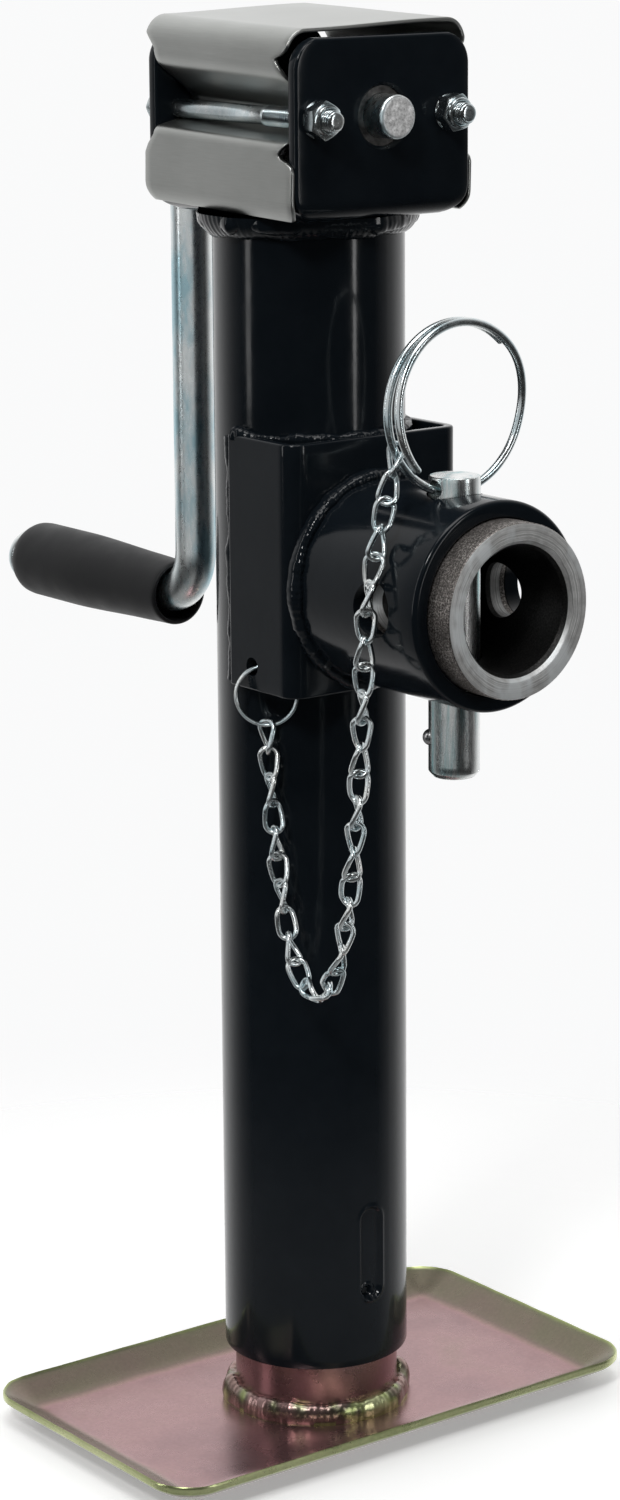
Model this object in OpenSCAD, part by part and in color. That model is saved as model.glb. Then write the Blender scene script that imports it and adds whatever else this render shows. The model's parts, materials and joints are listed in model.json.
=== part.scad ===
// Side-crank trailer tongue jack with a swivel pipe mount, a drop foot and a chained pull pin.
// Millimetres. +Z is up the lift tube, -Y is the mount side, +Y is the crank side.
// The origin is the middle of the foot's flat sole, on the ground.

/* [Lift tubes] */
// outside diameter of the outer tube
tube_od = 57.15; // [57.15:0.05:57.3]
// wall of the outer tube
tube_wall = 2.85; // [2.6:0.05:2.9]
// height of the outer tube's lower rim
tube_bottom = 21; // [18:0.5:30]
// outside diameter of the inner tube
inner_od = 50.8; // [50.4:0.1:50.8]
// wall of the inner tube
inner_wall = 3.2; // [2.8:0.1:3.4]
// height of the inner tube's top rim, inside the outer tube
inner_top = 346; // [330:1:350]
// lower end of the pressed key that stops the inner tube turning
key_bottom = 41.7; // [38:0.1:46]
// length of the pressed key
key_length = 30.5; // [20:0.5:32]
// width of the pressed key
key_width = 8.6; // [7:0.1:9]

/* [Foot] */
// half length of the foot plate, along X
foot_half_x = 89.3; // [85:0.1:95]
// half width of the foot plate, along Y
foot_half_y = 52.6; // [50:0.1:56]
// offset of the foot plate towards the crank side
foot_shift = 1.6; // [0:0.1:3]
// thickness of the foot plate
foot_sheet = 2.6; // [2:0.1:3]
// width of the foot's raised border
foot_border = 11; // [9:0.5:12]
// rise of the foot's raised border
foot_rise = 6.6; // [4:0.1:8]
// radius of the foot's corners
foot_corner = 14; // [12.5:0.5:18]

/* [Gear housing] */
// half width of the housing plates, along X
house_half_x = 31.6; // [31.4:0.05:31.6]
// half depth of the housing, along Y
house_half_y = 36.2; // [36:0.1:36.4]
// thickness of the housing plate
house_plate = 4; // [3.8:0.1:4.2]
// underside of the housing, where the outer tube ends
house_bottom = 374.7; // [374.7:0.1:375]
// top edge of the housing plates
house_top = 427; // [426:0.1:427]
// corner radius of the housing plates
house_corner = 9; // [8:0.5:9.5]
// height of the crank shaft and of the through bolts
axis_z = 404.2; // [404:0.1:404.4]
// distance of the through bolts from the middle
bolt_x = 24; // [23.5:0.1:24.2]

/* [Cover] */
// thickness of the cover sheet
cover_sheet = 1.2; // [1:0.1:1.4]
// half width of the cover over its sides
cover_half_x = 32.9; // [32.9:0.05:33.1]
// top of the cover at its middle
cover_top = 430.6; // [430.2:0.1:431]
// half depth of the cover's top
cover_half_y = 34.5; // [34:0.1:34.8]
// half depth of the cover's lower wings, which lap the plates
wing_half_y = 36.2; // [35.8:0.1:36.6]
// half depth of the cover between the plates
web_half_y = 30; // [29.6:0.1:30.1]
// depth of the side grooves' edge towards the mount, from the middle
groove_edge_y = 33.3; // [32.5:0.1:33.3]
// offset of the cover towards the crank side
cover_shift = 1.8; // [1.6:0.1:1.9]
// tilt of the cover, mount side down, in degrees
cover_tilt = 1.6; // [1.2:0.1:1.8]
// floor of the side groove
groove_low = 399; // [398.6:0.1:399.6]
// ceiling of the side groove
groove_high = 414; // [412:0.1:414.4]
// distance of the groove's back wall from the middle
groove_wall_x = 19.4; // [19:0.1:20]
// slope of the groove's ceiling, in degrees
ceiling_slope = 38; // [30:1:40]
// slope of the groove's floor, in degrees
floor_slope = 13; // [8:1:15]

/* [Crank] */
// diameter of the crank bar and shaft
bar_d = 12.7; // [12.6:0.05:12.7]
// front end of the crank shaft
shaft_front = -43; // [-45:0.5:-41]
// distance of the crank arm from the tube's axis
arm_y = 59.7; // [58:0.1:62]
// centre radius of the bar's bends
bend_r = 15; // [14:0.5:18]
// height of the grip's axis with the arm hanging down
grip_z = 249.4; // [246:0.1:252]
// grip diameter near the bend
grip_d_near = 20.4; // [19:0.1:23]
// grip diameter near its free end
grip_d_far = 24; // [22:0.5:26]
// start of the grip
grip_start = 69; // [68:0.1:71]
// end of the grip
grip_end = 151.2; // [148:0.1:156]

/* [Mount] */
// height of the mount pipe's axis
mount_z = 269; // [268.8:0.1:269.2]
// outside radius of the swivel housing
swivel_r = 30.6; // [30.4:0.1:30.6]
// front face of the swivel housing
swivel_front = -88; // [-89:0.1:-87]
// outside radius of the mount pipe
pipe_r = 25.4; // [25.3:0.1:25.4]
// bore radius of the mount pipe
pipe_bore_r = 18.3; // [17.5:0.1:19]
// mouth of the mount pipe
pipe_front = -97; // [-99:0.1:-96]
// front-to-back position of the pull pin and its cross holes
pin_y = -68.3; // [-68.5:0.1:-68]
// radius of the cross holes
cross_hole_r = 8.1; // [8.1:0.05:8.2]

/* [Pull pin, rings and chain] */
// diameter of the pull pin
pin_d = 15; // [14.9:0.05:15]
// lower tip of the pull pin
pin_bottom = 216.1; // [214:0.1:218]
// top of the pull pin
pin_top = 304.5; // [304.3:0.1:305.5]
// height of the pull ring's wire where it passes through the pin
ring_low_z = 299.7; // [299.6:0.1:299.8]
// outside diameter of the pull ring
ring_od = 51.2; // [50:0.1:52]
// wire of the pull ring
ring_wire = 2.5; // [2.4:0.1:2.6]
// wire of the chain
chain_wire = 1.3; // [1.2:0.1:1.4]
// outside width of a chain link
link_width = 6; // [5.8:0.1:6.2]
// number of chain links
link_count = 33; // [33:2:33]
// lowest point of the hanging chain
chain_low = 148.6; // [140:0.1:160]

/* [Screw and gears] */
// lead of the lift screw
screw_lead = 5; // [5:1:5]
// outside diameter of the lift screw
screw_od = 19; // [18:0.5:20]
// lower end of the lift screw
screw_bottom = 48; // [44:1:52]
// teeth on the pinion
pinion_teeth = 12; // [12:1:12]
// teeth on the gear
gear_teeth = 24; // [24:1:24]
// pitch radius of the gear at its outer end
gear_pitch_r = 25; // [24.5:0.1:25]

/* [Hidden] */
fine = 96;
fit_gap = 0.05;
tube_r = tube_od / 2;
tube_bore_r = tube_r - tube_wall;
inner_r = inner_od / 2;
inner_bore_r = inner_r - inner_wall;
bar_r = bar_d / 2;
pin_r = pin_d / 2;
plate_y = house_half_y - house_plate;
house_floor = house_bottom + house_plate;

// lift screw stack, from the top down
journal_r = 7;
collar_top = 363;
collar_height = 5;
race_r = 18;
race_pitch_r = 13;
ball_r = 3;
ball_count = 12;
ball_z = 368.8;
upper_race_low = 371;
upper_race_top = 374.5;
lower_race_top = 366.6;
thread_top = 352;
thread_depth = 1.9;
nut_height = 32;
nut_top = inner_top - 1;
plug_r = 4;

// bevel gears share their apex where the crank and screw axes cross
pitch_angle = atan(pinion_teeth / gear_teeth);
cone_far = gear_pitch_r / cos(pitch_angle);
cone_near = 0.68 * cone_far;
tooth_up = 1.2;
tooth_down = 1.6;
tooth_root = 1.75;
tooth_tip = 1.0;
gear_hub_top = 387.6;
gear_hub_bottom = 381;
gear_hub_r = 13;
gear_pin_z = 384.3;
pinion_hub_end = 31.5;
pinion_hub_r = 11;
pinion_pin_y = 28.4;
small_pin_r = 2;

// crank ends
bushing_r = 8.6;
flange_r = 9.8;
flange_t = 1.6;
arm_top = axis_z - bend_r;
arm_low = grip_z + bend_r;

// bracket
bracket_x = 31.6;
bracket_plate = 3;
bracket_face = -32.5;
bracket_low = 236.3;
bracket_high = 311.5;
bracket_corner = 5.5;
flange_back = -1.5;

// ball detent near the pull pin's tip
detent_r = 2.3;
detent_z = 227.7;
detent_proud = 0.5;
detent_ball_x = detent_r - pin_r - detent_proud;
pocket_end_x = 3;
spring_r = 1.5;
spring_wire_r = 0.35;
spring_rings = 7;
detent_turn = -37;

// small rings
anchor_hole = [-30.1, -12.6, 243.4];
anchor_hole_r = 2.8;
anchor_r = 9.05;
anchor_wire_r = 0.6;
anchor_turn = 42;
anchor_centre = anchor_hole + [3 * cos(anchor_turn), -3 * sin(anchor_turn), -8.9];
ring_r = (ring_od - ring_wire) / 2;
ring_centre_z = ring_low_z + ring_r;
ring_hole_z = ring_low_z + 1.3;
ring_hole_r = 2.75;
coil_start = 62;
coil_sweep = 159;
coil_splay = 4.2;

// the chain hangs from the small ring, over the housing's flank, and up to the pull ring
chain_from = anchor_centre + [0, 0, anchor_wire_r - anchor_r];
chain_touch = [-34.6, -71.5, 272];
hook_angle = 208;
hook_point = [ring_r * cos(hook_angle), pin_y, ring_centre_z + ring_r * sin(hook_angle)];
chain_to = hook_point + 2.4 * (hook_point - chain_touch) / norm(hook_point - chain_touch);
upper_links = 6;
drop_from = chain_from[2] - chain_low;
drop_touch = chain_touch[2] - chain_low;
span_vector = [chain_touch[0] - chain_from[0], chain_touch[1] - chain_from[1]];
span_length = norm(span_vector);
sag = sag_between(2, 30, 30);
arc_from = sqrt(pow(drop_from + sag, 2) - sag * sag);
arc_touch = sqrt(pow(drop_touch + sag, 2) - sag * sag);
rise_length = norm(chain_to - chain_touch);
chain_length = arc_from + arc_touch + rise_length;
link_pitch = chain_length / link_count;
link_inner = link_pitch + 0.2;
link_bend_r = (link_width - chain_wire) / 2;
link_half_straight = (link_inner + chain_wire) / 2 - link_bend_r;

// ---- curve of the hanging chain ----

function arcosh(x) = ln(x + sqrt(x * x - 1));
function arsinh(x) = ln(x + sqrt(x * x + 1));
function span_of(a) = a * (arcosh(1 + drop_from / a) + arcosh(1 + drop_touch / a));

// the catenary constant that gives the wanted span, found by halving
function sag_between(low, high, steps) =
    steps == 0 ? (low + high) / 2
    : span_of((low + high) / 2) > span_length ? sag_between(low, (low + high) / 2, steps - 1)
    : sag_between((low + high) / 2, high, steps - 1);

// a point on the hanging part, at arc length u from its lowest point
function hang_point(u) =
    let (along = sag * arsinh(u / sag) - sag * arsinh(-arc_from / sag),
        flat = [chain_from[0], chain_from[1]] + span_vector * along / span_length)
    [flat[0], flat[1], chain_low + sqrt(u * u + sag * sag) - sag];

// a point at arc length s from the small ring
function chain_point(s) =
    s < arc_from + arc_touch ? hang_point(s - arc_from)
    : chain_touch + (chain_to - chain_touch) * (s - arc_from - arc_touch) / rise_length;

function unit(v) = v / norm(v);

// ---- shared pieces ----

// a sheet bend seen from its end: a ring sector between two radii
module sheet_bend(inner, outer, from, to) {
    intersection() {
        difference() {
            circle(r = outer, $fn = fine);
            circle(r = inner, $fn = fine);
        }
        polygon([[0, 0], 2 * outer * [cos(from), sin(from)],
            2 * outer * [cos((from + to) / 2), sin((from + to) / 2)],
            2 * outer * [cos(to), sin(to)]]);
    }
}

// a rectangle with round corners, centred
module round_rect(half_x, half_y, r) {
    square([2 * half_x, 2 * (half_y - r)], center = true);
    square([2 * (half_x - r), 2 * half_y], center = true);
    for (x = [-1, 1], y = [-1, 1])
        translate([x * (half_x - r), y * (half_y - r)]) circle(r = r, $fn = fine);
}

// a plate standing in the XZ plane, from y = low to y = high
module upright(low, high) {
    translate([0, high, 0]) rotate([90, 0, 0]) linear_extrude(high - low) children();
}

// a cylinder along Y
module rod_y(r, low, high) {
    translate([0, high, 0]) rotate([90, 0, 0]) cylinder(r = r, h = high - low, $fn = fine);
}

// a body of revolution about the crank's axis or the mount's axis, profile in [radius, y]
module turned_y(z) {
    translate([0, 0, z]) rotate([-90, 0, 0]) rotate_extrude($fn = fine) children();
}

module hex(across, height) {
    cylinder(r = across / sqrt(3), h = height, $fn = 6);
}

// ---- lift tubes ----

module outer_tube() {
    color([0.05, 0.06, 0.07]) difference() {
        union() {
            difference() {
                translate([0, 0, tube_bottom])
                    cylinder(r = tube_r, h = house_bottom - tube_bottom, $fn = fine);
                translate([0, 0, tube_bottom - 1])
                    cylinder(r = tube_bore_r, h = house_bottom - tube_bottom + 2, $fn = fine);
            }
            key_rib();
        }
        key_recess();
        translate([-0.8, -tube_r + 3, key_bottom + 2.6]) rotate([90, 0, 0])
            cylinder(r = 1.6, h = 10, center = true, $fn = 32);
    }
}

// the pressed key stands inwards of the bore and leaves a recess outside
module key_rib() {
    half = key_width / 2 - 0.8;
    intersection() {
        difference() {
            translate([0, 0, key_bottom]) cylinder(r = tube_bore_r + 0.5, h = key_length, $fn = fine);
            translate([0, 0, key_bottom - 1]) cylinder(r = inner_r - 1.0, h = key_length + 2, $fn = fine);
        }
        translate([-half, -tube_r, key_bottom]) cube([2 * half, tube_r, key_length]);
    }
}

module key_recess() {
    half = key_width / 2;
    translate([0, 0, key_bottom + half]) intersection() {
        difference() {
            translate([0, 0, -half]) cylinder(r = tube_r + 1, h = key_length, $fn = fine);
            translate([0, 0, -half - 1]) cylinder(r = tube_r - 1.3, h = key_length + 2, $fn = fine);
        }
        union() {
            translate([-half, -tube_r - 1, 0]) cube([key_width, tube_r, key_length - key_width]);
            for (z = [0, key_length - key_width])
                translate([0, -10, z]) rotate([90, 0, 0]) cylinder(r = half, h = tube_r, $fn = fine);
        }
    }
}

module inner_tube() {
    groove = key_width / 2;
    color([0.6, 0.55, 0.4]) difference() {
        translate([0, 0, foot_sheet]) cylinder(r = inner_r, h = inner_top - foot_sheet, $fn = fine);
        translate([0, 0, foot_sheet - 1]) cylinder(r = inner_bore_r, h = inner_top, $fn = fine);
        translate([-groove, -inner_r - 2, foot_sheet + 20])
            cube([2 * groove, 3.7, inner_top]);
        nut_plug_rods(plug_r + fit_gap, inner_r + 2);
    }
}

module nut_plug_rods(r, reach) {
    for (a = [45:90:315])
        rotate([0, 0, a]) translate([18, 0, nut_top - nut_height / 2]) rotate([0, 90, 0])
            cylinder(r = r, h = reach - 18, $fn = 32);
}

module nut_plugs() {
    color([0.6, 0.6, 0.6]) nut_plug_rods(plug_r, inner_r - 0.3);
}

module lift_nut() {
    color([0.7, 0.6, 0.3]) difference() {
        translate([0, 0, nut_top - nut_height]) cylinder(r = inner_bore_r - fit_gap, h = nut_height, $fn = fine);
        translate([0, 0, nut_top - nut_height - 1])
            cylinder(r = screw_od / 2 + 0.06, h = nut_height + 2, $fn = fine);
        nut_plug_rods(plug_r + fit_gap, inner_r + 2);
    }
}

// ---- foot ----

// border strip seen from its end, rising outwards from the sole
module border_profile() {
    polygon([[foot_corner - foot_border, 0], [foot_corner - foot_border + 0.5, 0],
        [foot_corner, foot_rise], [foot_corner, foot_rise + foot_sheet],
        [foot_corner - foot_border, foot_sheet]]);
}

module foot_plate() {
    cx = foot_half_x - foot_corner;
    cy = foot_half_y - foot_corner;
    flat = foot_corner - foot_border;
    color([0.6, 0.55, 0.45]) translate([0, foot_shift, 0]) {
        linear_extrude(foot_sheet) round_rect(cx + flat + 0.01, cy + flat + 0.01, flat);
        for (side = [0, 180]) {
            rotate([0, 0, side]) translate([cx, cy, 0]) rotate([90, 0, 0])
                linear_extrude(2 * cy) border_profile();
            rotate([0, 0, side]) translate([cx, -cy, 0]) rotate([0, 0, -90]) rotate([90, 0, 0])
                linear_extrude(2 * cx) border_profile();
        }
        for (corner = [[1, 1, 0], [-1, 1, 90], [-1, -1, 180], [1, -1, 270]])
            translate([corner[0] * cx, corner[1] * cy, 0]) rotate([0, 0, corner[2]])
                rotate_extrude(angle = 90, $fn = fine) border_profile();
    }
}

// weld bead between the inner tube and the foot
module foot_weld() {
    color([0.65, 0.6, 0.4]) translate([0, 0, foot_sheet]) rotate_extrude($fn = fine)
        intersection() {
            translate([inner_r + 0.4, 2.6]) circle(r = 3.9, $fn = fine);
            translate([inner_r + 0.03, 0]) square([8, 9]);
        }
}

// ---- gear housing ----

module gear_housing() {
    color([0.05, 0.06, 0.07]) difference() {
        intersection() {
            housing_channel();
            upright(-house_half_y - 1, house_half_y + 1)
                translate([0, (house_bottom + house_top) / 2])
                    round_rect(house_half_x, (house_top - house_bottom) / 2, house_corner);
        }
        translate([0, 0, axis_z]) rod_y(bushing_r + fit_gap, -house_half_y - 1, house_half_y + 1);
        for (x = [-bolt_x, bolt_x])
            translate([x, 0, axis_z]) rod_y(3.4, -house_half_y - 1, house_half_y + 1);
        translate([0, 0, house_bottom - 1]) cylinder(r = 12.1, h = house_plate + 2, $fn = fine);
    }
}

// the bent strip: floor, two bends and two walls
module housing_channel() {
    outer = house_plate + 2;
    wall = house_top - house_bottom - outer;
    translate([-house_half_x, 0, 0]) rotate([90, 0, 90]) linear_extrude(2 * house_half_x) {
        translate([-house_half_y + outer, house_bottom])
            square([2 * (house_half_y - outer), house_plate]);
        for (side = [0, 1]) mirror([side, 0]) {
            translate([plate_y, house_bottom + outer]) square([house_plate, wall]);
            translate([house_half_y - outer, house_bottom + outer])
                sheet_bend(outer - house_plate, outer, 270, 360);
        }
    }
}

// weld bead under the housing, around the outer tube
module housing_weld() {
    color([0.05, 0.06, 0.07]) translate([0, 0, house_bottom]) rotate_extrude($fn = fine)
        intersection() {
            translate([tube_r + 0.2, -2.5]) circle(r = 5.4, $fn = fine);
            translate([tube_r + 0.02, -9.02]) square([8, 9]);
        }
}

// the cover's section, left half: bulged side, groove round the bolt, lower wing and clip curl
module cover_section() {
    bend = 1;
    tight = cover_sheet + bend;
    shelf_bend = 3;
    corner = (cover_top - groove_high) / 2 - 1;
    roll = [-cover_half_x + corner, groove_high + corner];
    fold = [-cover_half_x + shelf_bend, groove_low - shelf_bend];
    ceiling = [sin(ceiling_slope), cos(ceiling_slope)];
    floor = [-sin(floor_slope), cos(floor_slope)];
    wall = -groove_wall_x - bend;
    ceiling_z = roll[1] + (ceiling[0] * (roll[0] - wall) - corner - bend) / ceiling[1];
    floor_z = fold[1] + (shelf_bend + bend - floor[0] * (wall - fold[0])) / floor[1];
    inner_top = [wall, ceiling_z];
    inner_low = [wall, floor_z];
    curl = house_corner + 0.1 + cover_sheet;
    curl_z = house_bottom + house_corner - 1;
    translate([roll[0], cover_top - cover_sheet]) square([-roll[0], cover_sheet]);
    translate([roll[0], cover_top - corner]) sheet_bend(corner - cover_sheet, corner, 90, 180);
    translate([-cover_half_x, roll[1]]) square([cover_sheet, cover_top - corner - roll[1]]);
    translate(roll) sheet_bend(corner - cover_sheet, corner, 180, 270 - ceiling_slope);
    polygon([roll - corner * ceiling, inner_top + bend * ceiling, inner_top + tight * ceiling,
        roll - (corner - cover_sheet) * ceiling]);
    translate(inner_top) sheet_bend(bend, tight, 0, 90 - ceiling_slope);
    translate([-groove_wall_x, floor_z]) square([cover_sheet, ceiling_z - floor_z]);
    translate(inner_low) sheet_bend(bend, tight, 270 + floor_slope, 360);
    polygon([fold + shelf_bend * floor, fold + (shelf_bend - cover_sheet) * floor,
        inner_low - tight * floor, inner_low - bend * floor]);
    translate(fold) sheet_bend(shelf_bend - cover_sheet, shelf_bend, 90 + floor_slope, 180);
    translate([-cover_half_x, curl_z]) square([cover_sheet, fold[1] - curl_z]);
    translate([-cover_half_x + curl, curl_z]) sheet_bend(curl - cover_sheet, curl, 180, 218);
}

// the cover's outline from the side: wide at the top and the lower wing, narrow between the plates
module cover_outline() {
    wing_top = groove_low - 6.4;
    wing_low = house_bottom + 0.6;
    top_low = cover_top - 6.6;
    difference() {
        union() {
            translate([-web_half_y, wing_low]) square([2 * web_half_y, cover_top - wing_low + 1]);
            polygon([[0, groove_low - 3], [0, groove_high + 7], [-web_half_y, groove_high + 7],
                [-groove_edge_y, groove_high], [-groove_edge_y, groove_low - 1], [-web_half_y, groove_low - 3]]);
            translate([-cover_shift, (wing_top + wing_low) / 2])
                round_rect(wing_half_y, (wing_top - wing_low) / 2, 5);
            translate([0, top_low + 10]) round_rect(cover_half_y, 10, 4);
        }
        for (y = [-1, 1]) translate([y * (web_half_y + 1.6), groove_low - 4.2])
            circle(r = 2.2, $fn = fine);
    }
}

module gear_cover() {
    color([0.5, 0.52, 0.5]) translate([0, cover_shift, axis_z]) rotate([cover_tilt, 0, 0])
        translate([0, 0, -axis_z]) intersection() {
            upright(-cover_half_y - 4, cover_half_y + 4) for (side = [0, 1])
                mirror([side, 0]) cover_section();
            translate([-cover_half_x - 1, 0, 0]) rotate([90, 0, 90])
                linear_extrude(2 * cover_half_x + 2) cover_outline();
        }
}

module cover_bolts() {
    color([0.7, 0.75, 0.75]) for (x = [-bolt_x, bolt_x]) translate([x, 0, axis_z]) {
        rod_y(3.1, -45.6, house_half_y + 1);
        translate([0, house_half_y + 4.6, 0]) rotate([90, 0, 0]) hex(10, 4.5);
        rod_y(5.6, house_half_y + 0.05, house_half_y + 0.6);
    }
}

// hex lock nuts with a round collar that holds the insert
module cover_nuts() {
    color([0.7, 0.75, 0.75]) for (x = [-bolt_x, bolt_x])
        translate([x, -house_half_y - 0.1, axis_z]) rotate([90, 0, 0]) difference() {
            union() {
                hex(10, 4.6);
                translate([0, 0, 4.5]) cylinder(r = 4.5, h = 1.4, $fn = fine);
                cylinder(r = 5.4, h = 0.5, $fn = fine);
            }
            translate([0, 0, -1]) cylinder(r = 3.1 + fit_gap, h = 9, $fn = fine);
        }
}

// a flanged bushing for the crank shaft, flange outwards along +Y
module shaft_bushing() {
    difference() {
        union() {
            rod_y(bushing_r, plate_y, house_half_y + 0.5);
            rod_y(flange_r, house_half_y + 0.05, house_half_y + flange_t);
        }
        rod_y(bar_r + fit_gap, plate_y - 1, house_half_y + 3);
    }
}

// plain bushing set back in the front plate's hole
module front_bushing() {
    color([0.1, 0.1, 0.1]) translate([0, 0, axis_z]) difference() {
        rod_y(bushing_r, -house_half_y + 1.6, -plate_y);
        rod_y(bar_r + fit_gap, -house_half_y - 1, -plate_y + 1);
    }
}

module rear_bushing() {
    color([0.1, 0.1, 0.1]) translate([0, 0, axis_z]) shaft_bushing();
}

// ---- screw, thrust bearing and gears ----

module screw_bushing() {
    color([0.7, 0.5, 0.2]) difference() {
        union() {
            translate([0, 0, house_bottom]) cylinder(r = 12.05, h = house_plate + 0.5, $fn = fine);
            translate([0, 0, house_floor + 0.05]) cylinder(r = 15, h = 1.5, $fn = fine);
        }
        translate([0, 0, house_bottom - 1]) cylinder(r = journal_r + fit_gap, h = 9, $fn = fine);
    }
}

module race(low, high, bore) {
    difference() {
        translate([0, 0, low]) cylinder(r = race_r, h = high - low, $fn = fine);
        translate([0, 0, low - 1]) cylinder(r = bore, h = high - low + 2, $fn = fine);
        translate([0, 0, ball_z]) rotate_extrude($fn = fine)
            translate([race_pitch_r, 0]) circle(r = ball_r + fit_gap, $fn = fine);
    }
}

module thrust_race_upper() {
    color([0.6, 0.6, 0.6]) race(upper_race_low, upper_race_top, journal_r + 0.6);
}

module thrust_race_lower() {
    color([0.6, 0.6, 0.6]) race(collar_top + 0.02, lower_race_top, journal_r + 0.02);
}

module thrust_balls() {
    color([0.7, 0.7, 0.7]) for (i = [0:ball_count - 1])
        rotate([0, 0, i * 360 / ball_count]) translate([race_pitch_r, 0, ball_z])
            sphere(r = ball_r, $fn = 48);
}

// journal, collar and a thread drawn as rings
module lead_screw() {
    crest = screw_od / 2;
    root = crest - thread_depth;
    turns = floor((thread_top - screw_bottom - 2) / screw_lead);
    step = screw_lead;
    start = thread_top - turns * step;
    color([0.55, 0.55, 0.55]) difference() {
        rotate_extrude($fn = fine) polygon(concat(
            [[0, screw_bottom], [root - 1, screw_bottom], [root, screw_bottom + 1]],
            [for (i = [0:turns - 1], p = [[root, 0.5], [crest, 1.1], [crest, 3.0], [root, 3.6]])
                [p[0], start + i * step + p[1]]],
            [[root, collar_top - collar_height], [race_r - 3, collar_top - collar_height],
                [race_r - 3, collar_top], [journal_r, collar_top], [journal_r, 395], [0, 395]]));
        translate([0, 0, gear_pin_z]) rod_y(small_pin_r, -20, 20);
    }
}

// a bevel tooth along +X of a cone that opens downwards from its apex at the origin
module bevel_tooth(angle) {
    out = [sin(angle), 0, -cos(angle)];
    lift = [cos(angle), 0, sin(angle)];
    side = [0, 1, 0];
    corner_at = function (reach, height, width)
        let (s = reach / cone_far) out * reach + (lift * height + side * width) * s;
    rows = [[-tooth_down, -tooth_root], [-tooth_down, tooth_root], [tooth_up, tooth_tip], [tooth_up, -tooth_tip]];
    polyhedron(points = [for (reach = [cone_near, cone_far], p = rows) corner_at(reach, p[0], p[1])],
        faces = [[0, 1, 2, 3], [7, 6, 5, 4], [0, 4, 5, 1], [1, 5, 6, 2], [2, 6, 7, 3], [3, 7, 4, 0]]);
}

// radius and depth below the apex of a point on the root cone
function root_at(angle, reach) =
    let (s = reach / cone_far, d = 0.9 * tooth_down * s)
    [reach * sin(angle) - d * cos(angle), -reach * cos(angle) - d * sin(angle)];

// teeth round a blank whose hub runs down to depth hub_end
module bevel_gear(angle, teeth, bore, hub_r, back, hub_end, turn) {
    near = root_at(angle, cone_near);
    far = root_at(angle, cone_far);
    rotate([0, 0, turn]) for (i = [0:teeth - 1])
        rotate([0, 0, i * 360 / teeth]) bevel_tooth(angle);
    rotate_extrude($fn = fine) polygon([[bore, near[1]], near, far, [far[0] - 0.8, back],
        [hub_r, back], [hub_r, hub_end], [bore, hub_end]]);
}

module screw_gear() {
    color([0.5, 0.5, 0.5]) difference() {
        translate([0, 0, axis_z])
            bevel_gear(90 - pitch_angle, gear_teeth, journal_r + 0.02, gear_hub_r,
                gear_hub_top - axis_z, gear_hub_bottom - axis_z, 0);
        translate([0, 0, gear_pin_z]) rod_y(small_pin_r, -20, 20);
    }
}

module gear_pin() {
    color([0.4, 0.4, 0.4]) translate([0, 0, gear_pin_z]) rod_y(small_pin_r - 0.02, -12.6, 12.6);
}

module crank_pinion() {
    color([0.5, 0.5, 0.5]) difference() {
        translate([0, 0, axis_z]) rotate([90, 0, 0])
            bevel_gear(pitch_angle, pinion_teeth, bar_r + 0.02, pinion_hub_r,
                -25.8, -pinion_hub_end, 180 / pinion_teeth);
        pinion_pin_rod(small_pin_r);
    }
}

module pinion_pin_rod(r) {
    translate([0, pinion_pin_y, axis_z - pinion_hub_r]) cylinder(r = r, h = 2 * pinion_hub_r, $fn = 32);
}

module pinion_pin() {
    color([0.4, 0.4, 0.4]) intersection() {
        pinion_pin_rod(small_pin_r - 0.02);
        translate([0, 0, axis_z]) rod_y(pinion_hub_r - 0.4, 20, 40);
    }
}

// set collar that keeps the crank shaft from sliding
module crank_collar() {
    color([0.4, 0.4, 0.4]) translate([0, 0, axis_z]) difference() {
        rod_y(10.5, -plate_y + 0.4, -plate_y + 8.4);
        rod_y(bar_r + 0.02, -plate_y - 1, -plate_y + 10);
        translate([0, -plate_y + 4.4, 6]) cylinder(r = 2.2, h = 10, $fn = 32);
    }
}

// ---- crank ----

// shaft, arm and grip core, bent from one bar
module crank_bar() {
    color([0.6, 0.68, 0.7]) difference() {
        union() {
            translate([0, 0, axis_z]) turned_shaft();
            translate([0, arm_y - bend_r, arm_top]) rotate([90, 0, 90])
                rotate_extrude(angle = 90, $fn = fine) translate([bend_r, 0]) circle(r = bar_r, $fn = fine);
            translate([0, arm_y, arm_low]) cylinder(r = bar_r, h = arm_top - arm_low, $fn = fine);
            translate([0, arm_y + bend_r, arm_low]) rotate([90, 0, 90]) rotate([0, 0, 180])
                rotate_extrude(angle = 90, $fn = fine) translate([bend_r, 0]) circle(r = bar_r, $fn = fine);
            translate([0, 0, grip_z]) rod_y(bar_r, arm_y + bend_r, grip_end + 1.4);
        }
        pinion_pin_rod(small_pin_r);
    }
}

// the shaft with a small chamfer at its front end
module turned_shaft() {
    rotate([-90, 0, 0]) rotate_extrude($fn = fine) polygon([[0, shaft_front],
        [bar_r - 0.8, shaft_front], [bar_r, shaft_front + 0.8],
        [bar_r, arm_y - bend_r], [0, arm_y - bend_r]]);
}

// rubber sleeve that turns on the bar
module grip() {
    far = grip_d_far / 2;
    near = grip_d_near / 2;
    bore = bar_r + fit_gap;
    end_round = 5.5;
    mouth_floor = arm_y + bend_r + 0.8;
    color([0.08, 0.08, 0.08]) turned_y(grip_z) difference() {
        union() {
            polygon([[bore, grip_start], [near - 1, grip_start], [near, grip_start + 1],
                [near + 0.3, grip_start + 14], [far, grip_end - 24], [far, grip_end - end_round],
                [far - end_round, grip_end], [bore, grip_end]]);
            intersection() {
                translate([far - end_round, grip_end - end_round]) circle(r = end_round, $fn = fine);
                translate([far - end_round, grip_end - end_round]) square(end_round + 1);
            }
        }
        translate([0, grip_start - 1]) square([bar_r + 2.55, mouth_floor - grip_start + 1]);
    }
}

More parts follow.
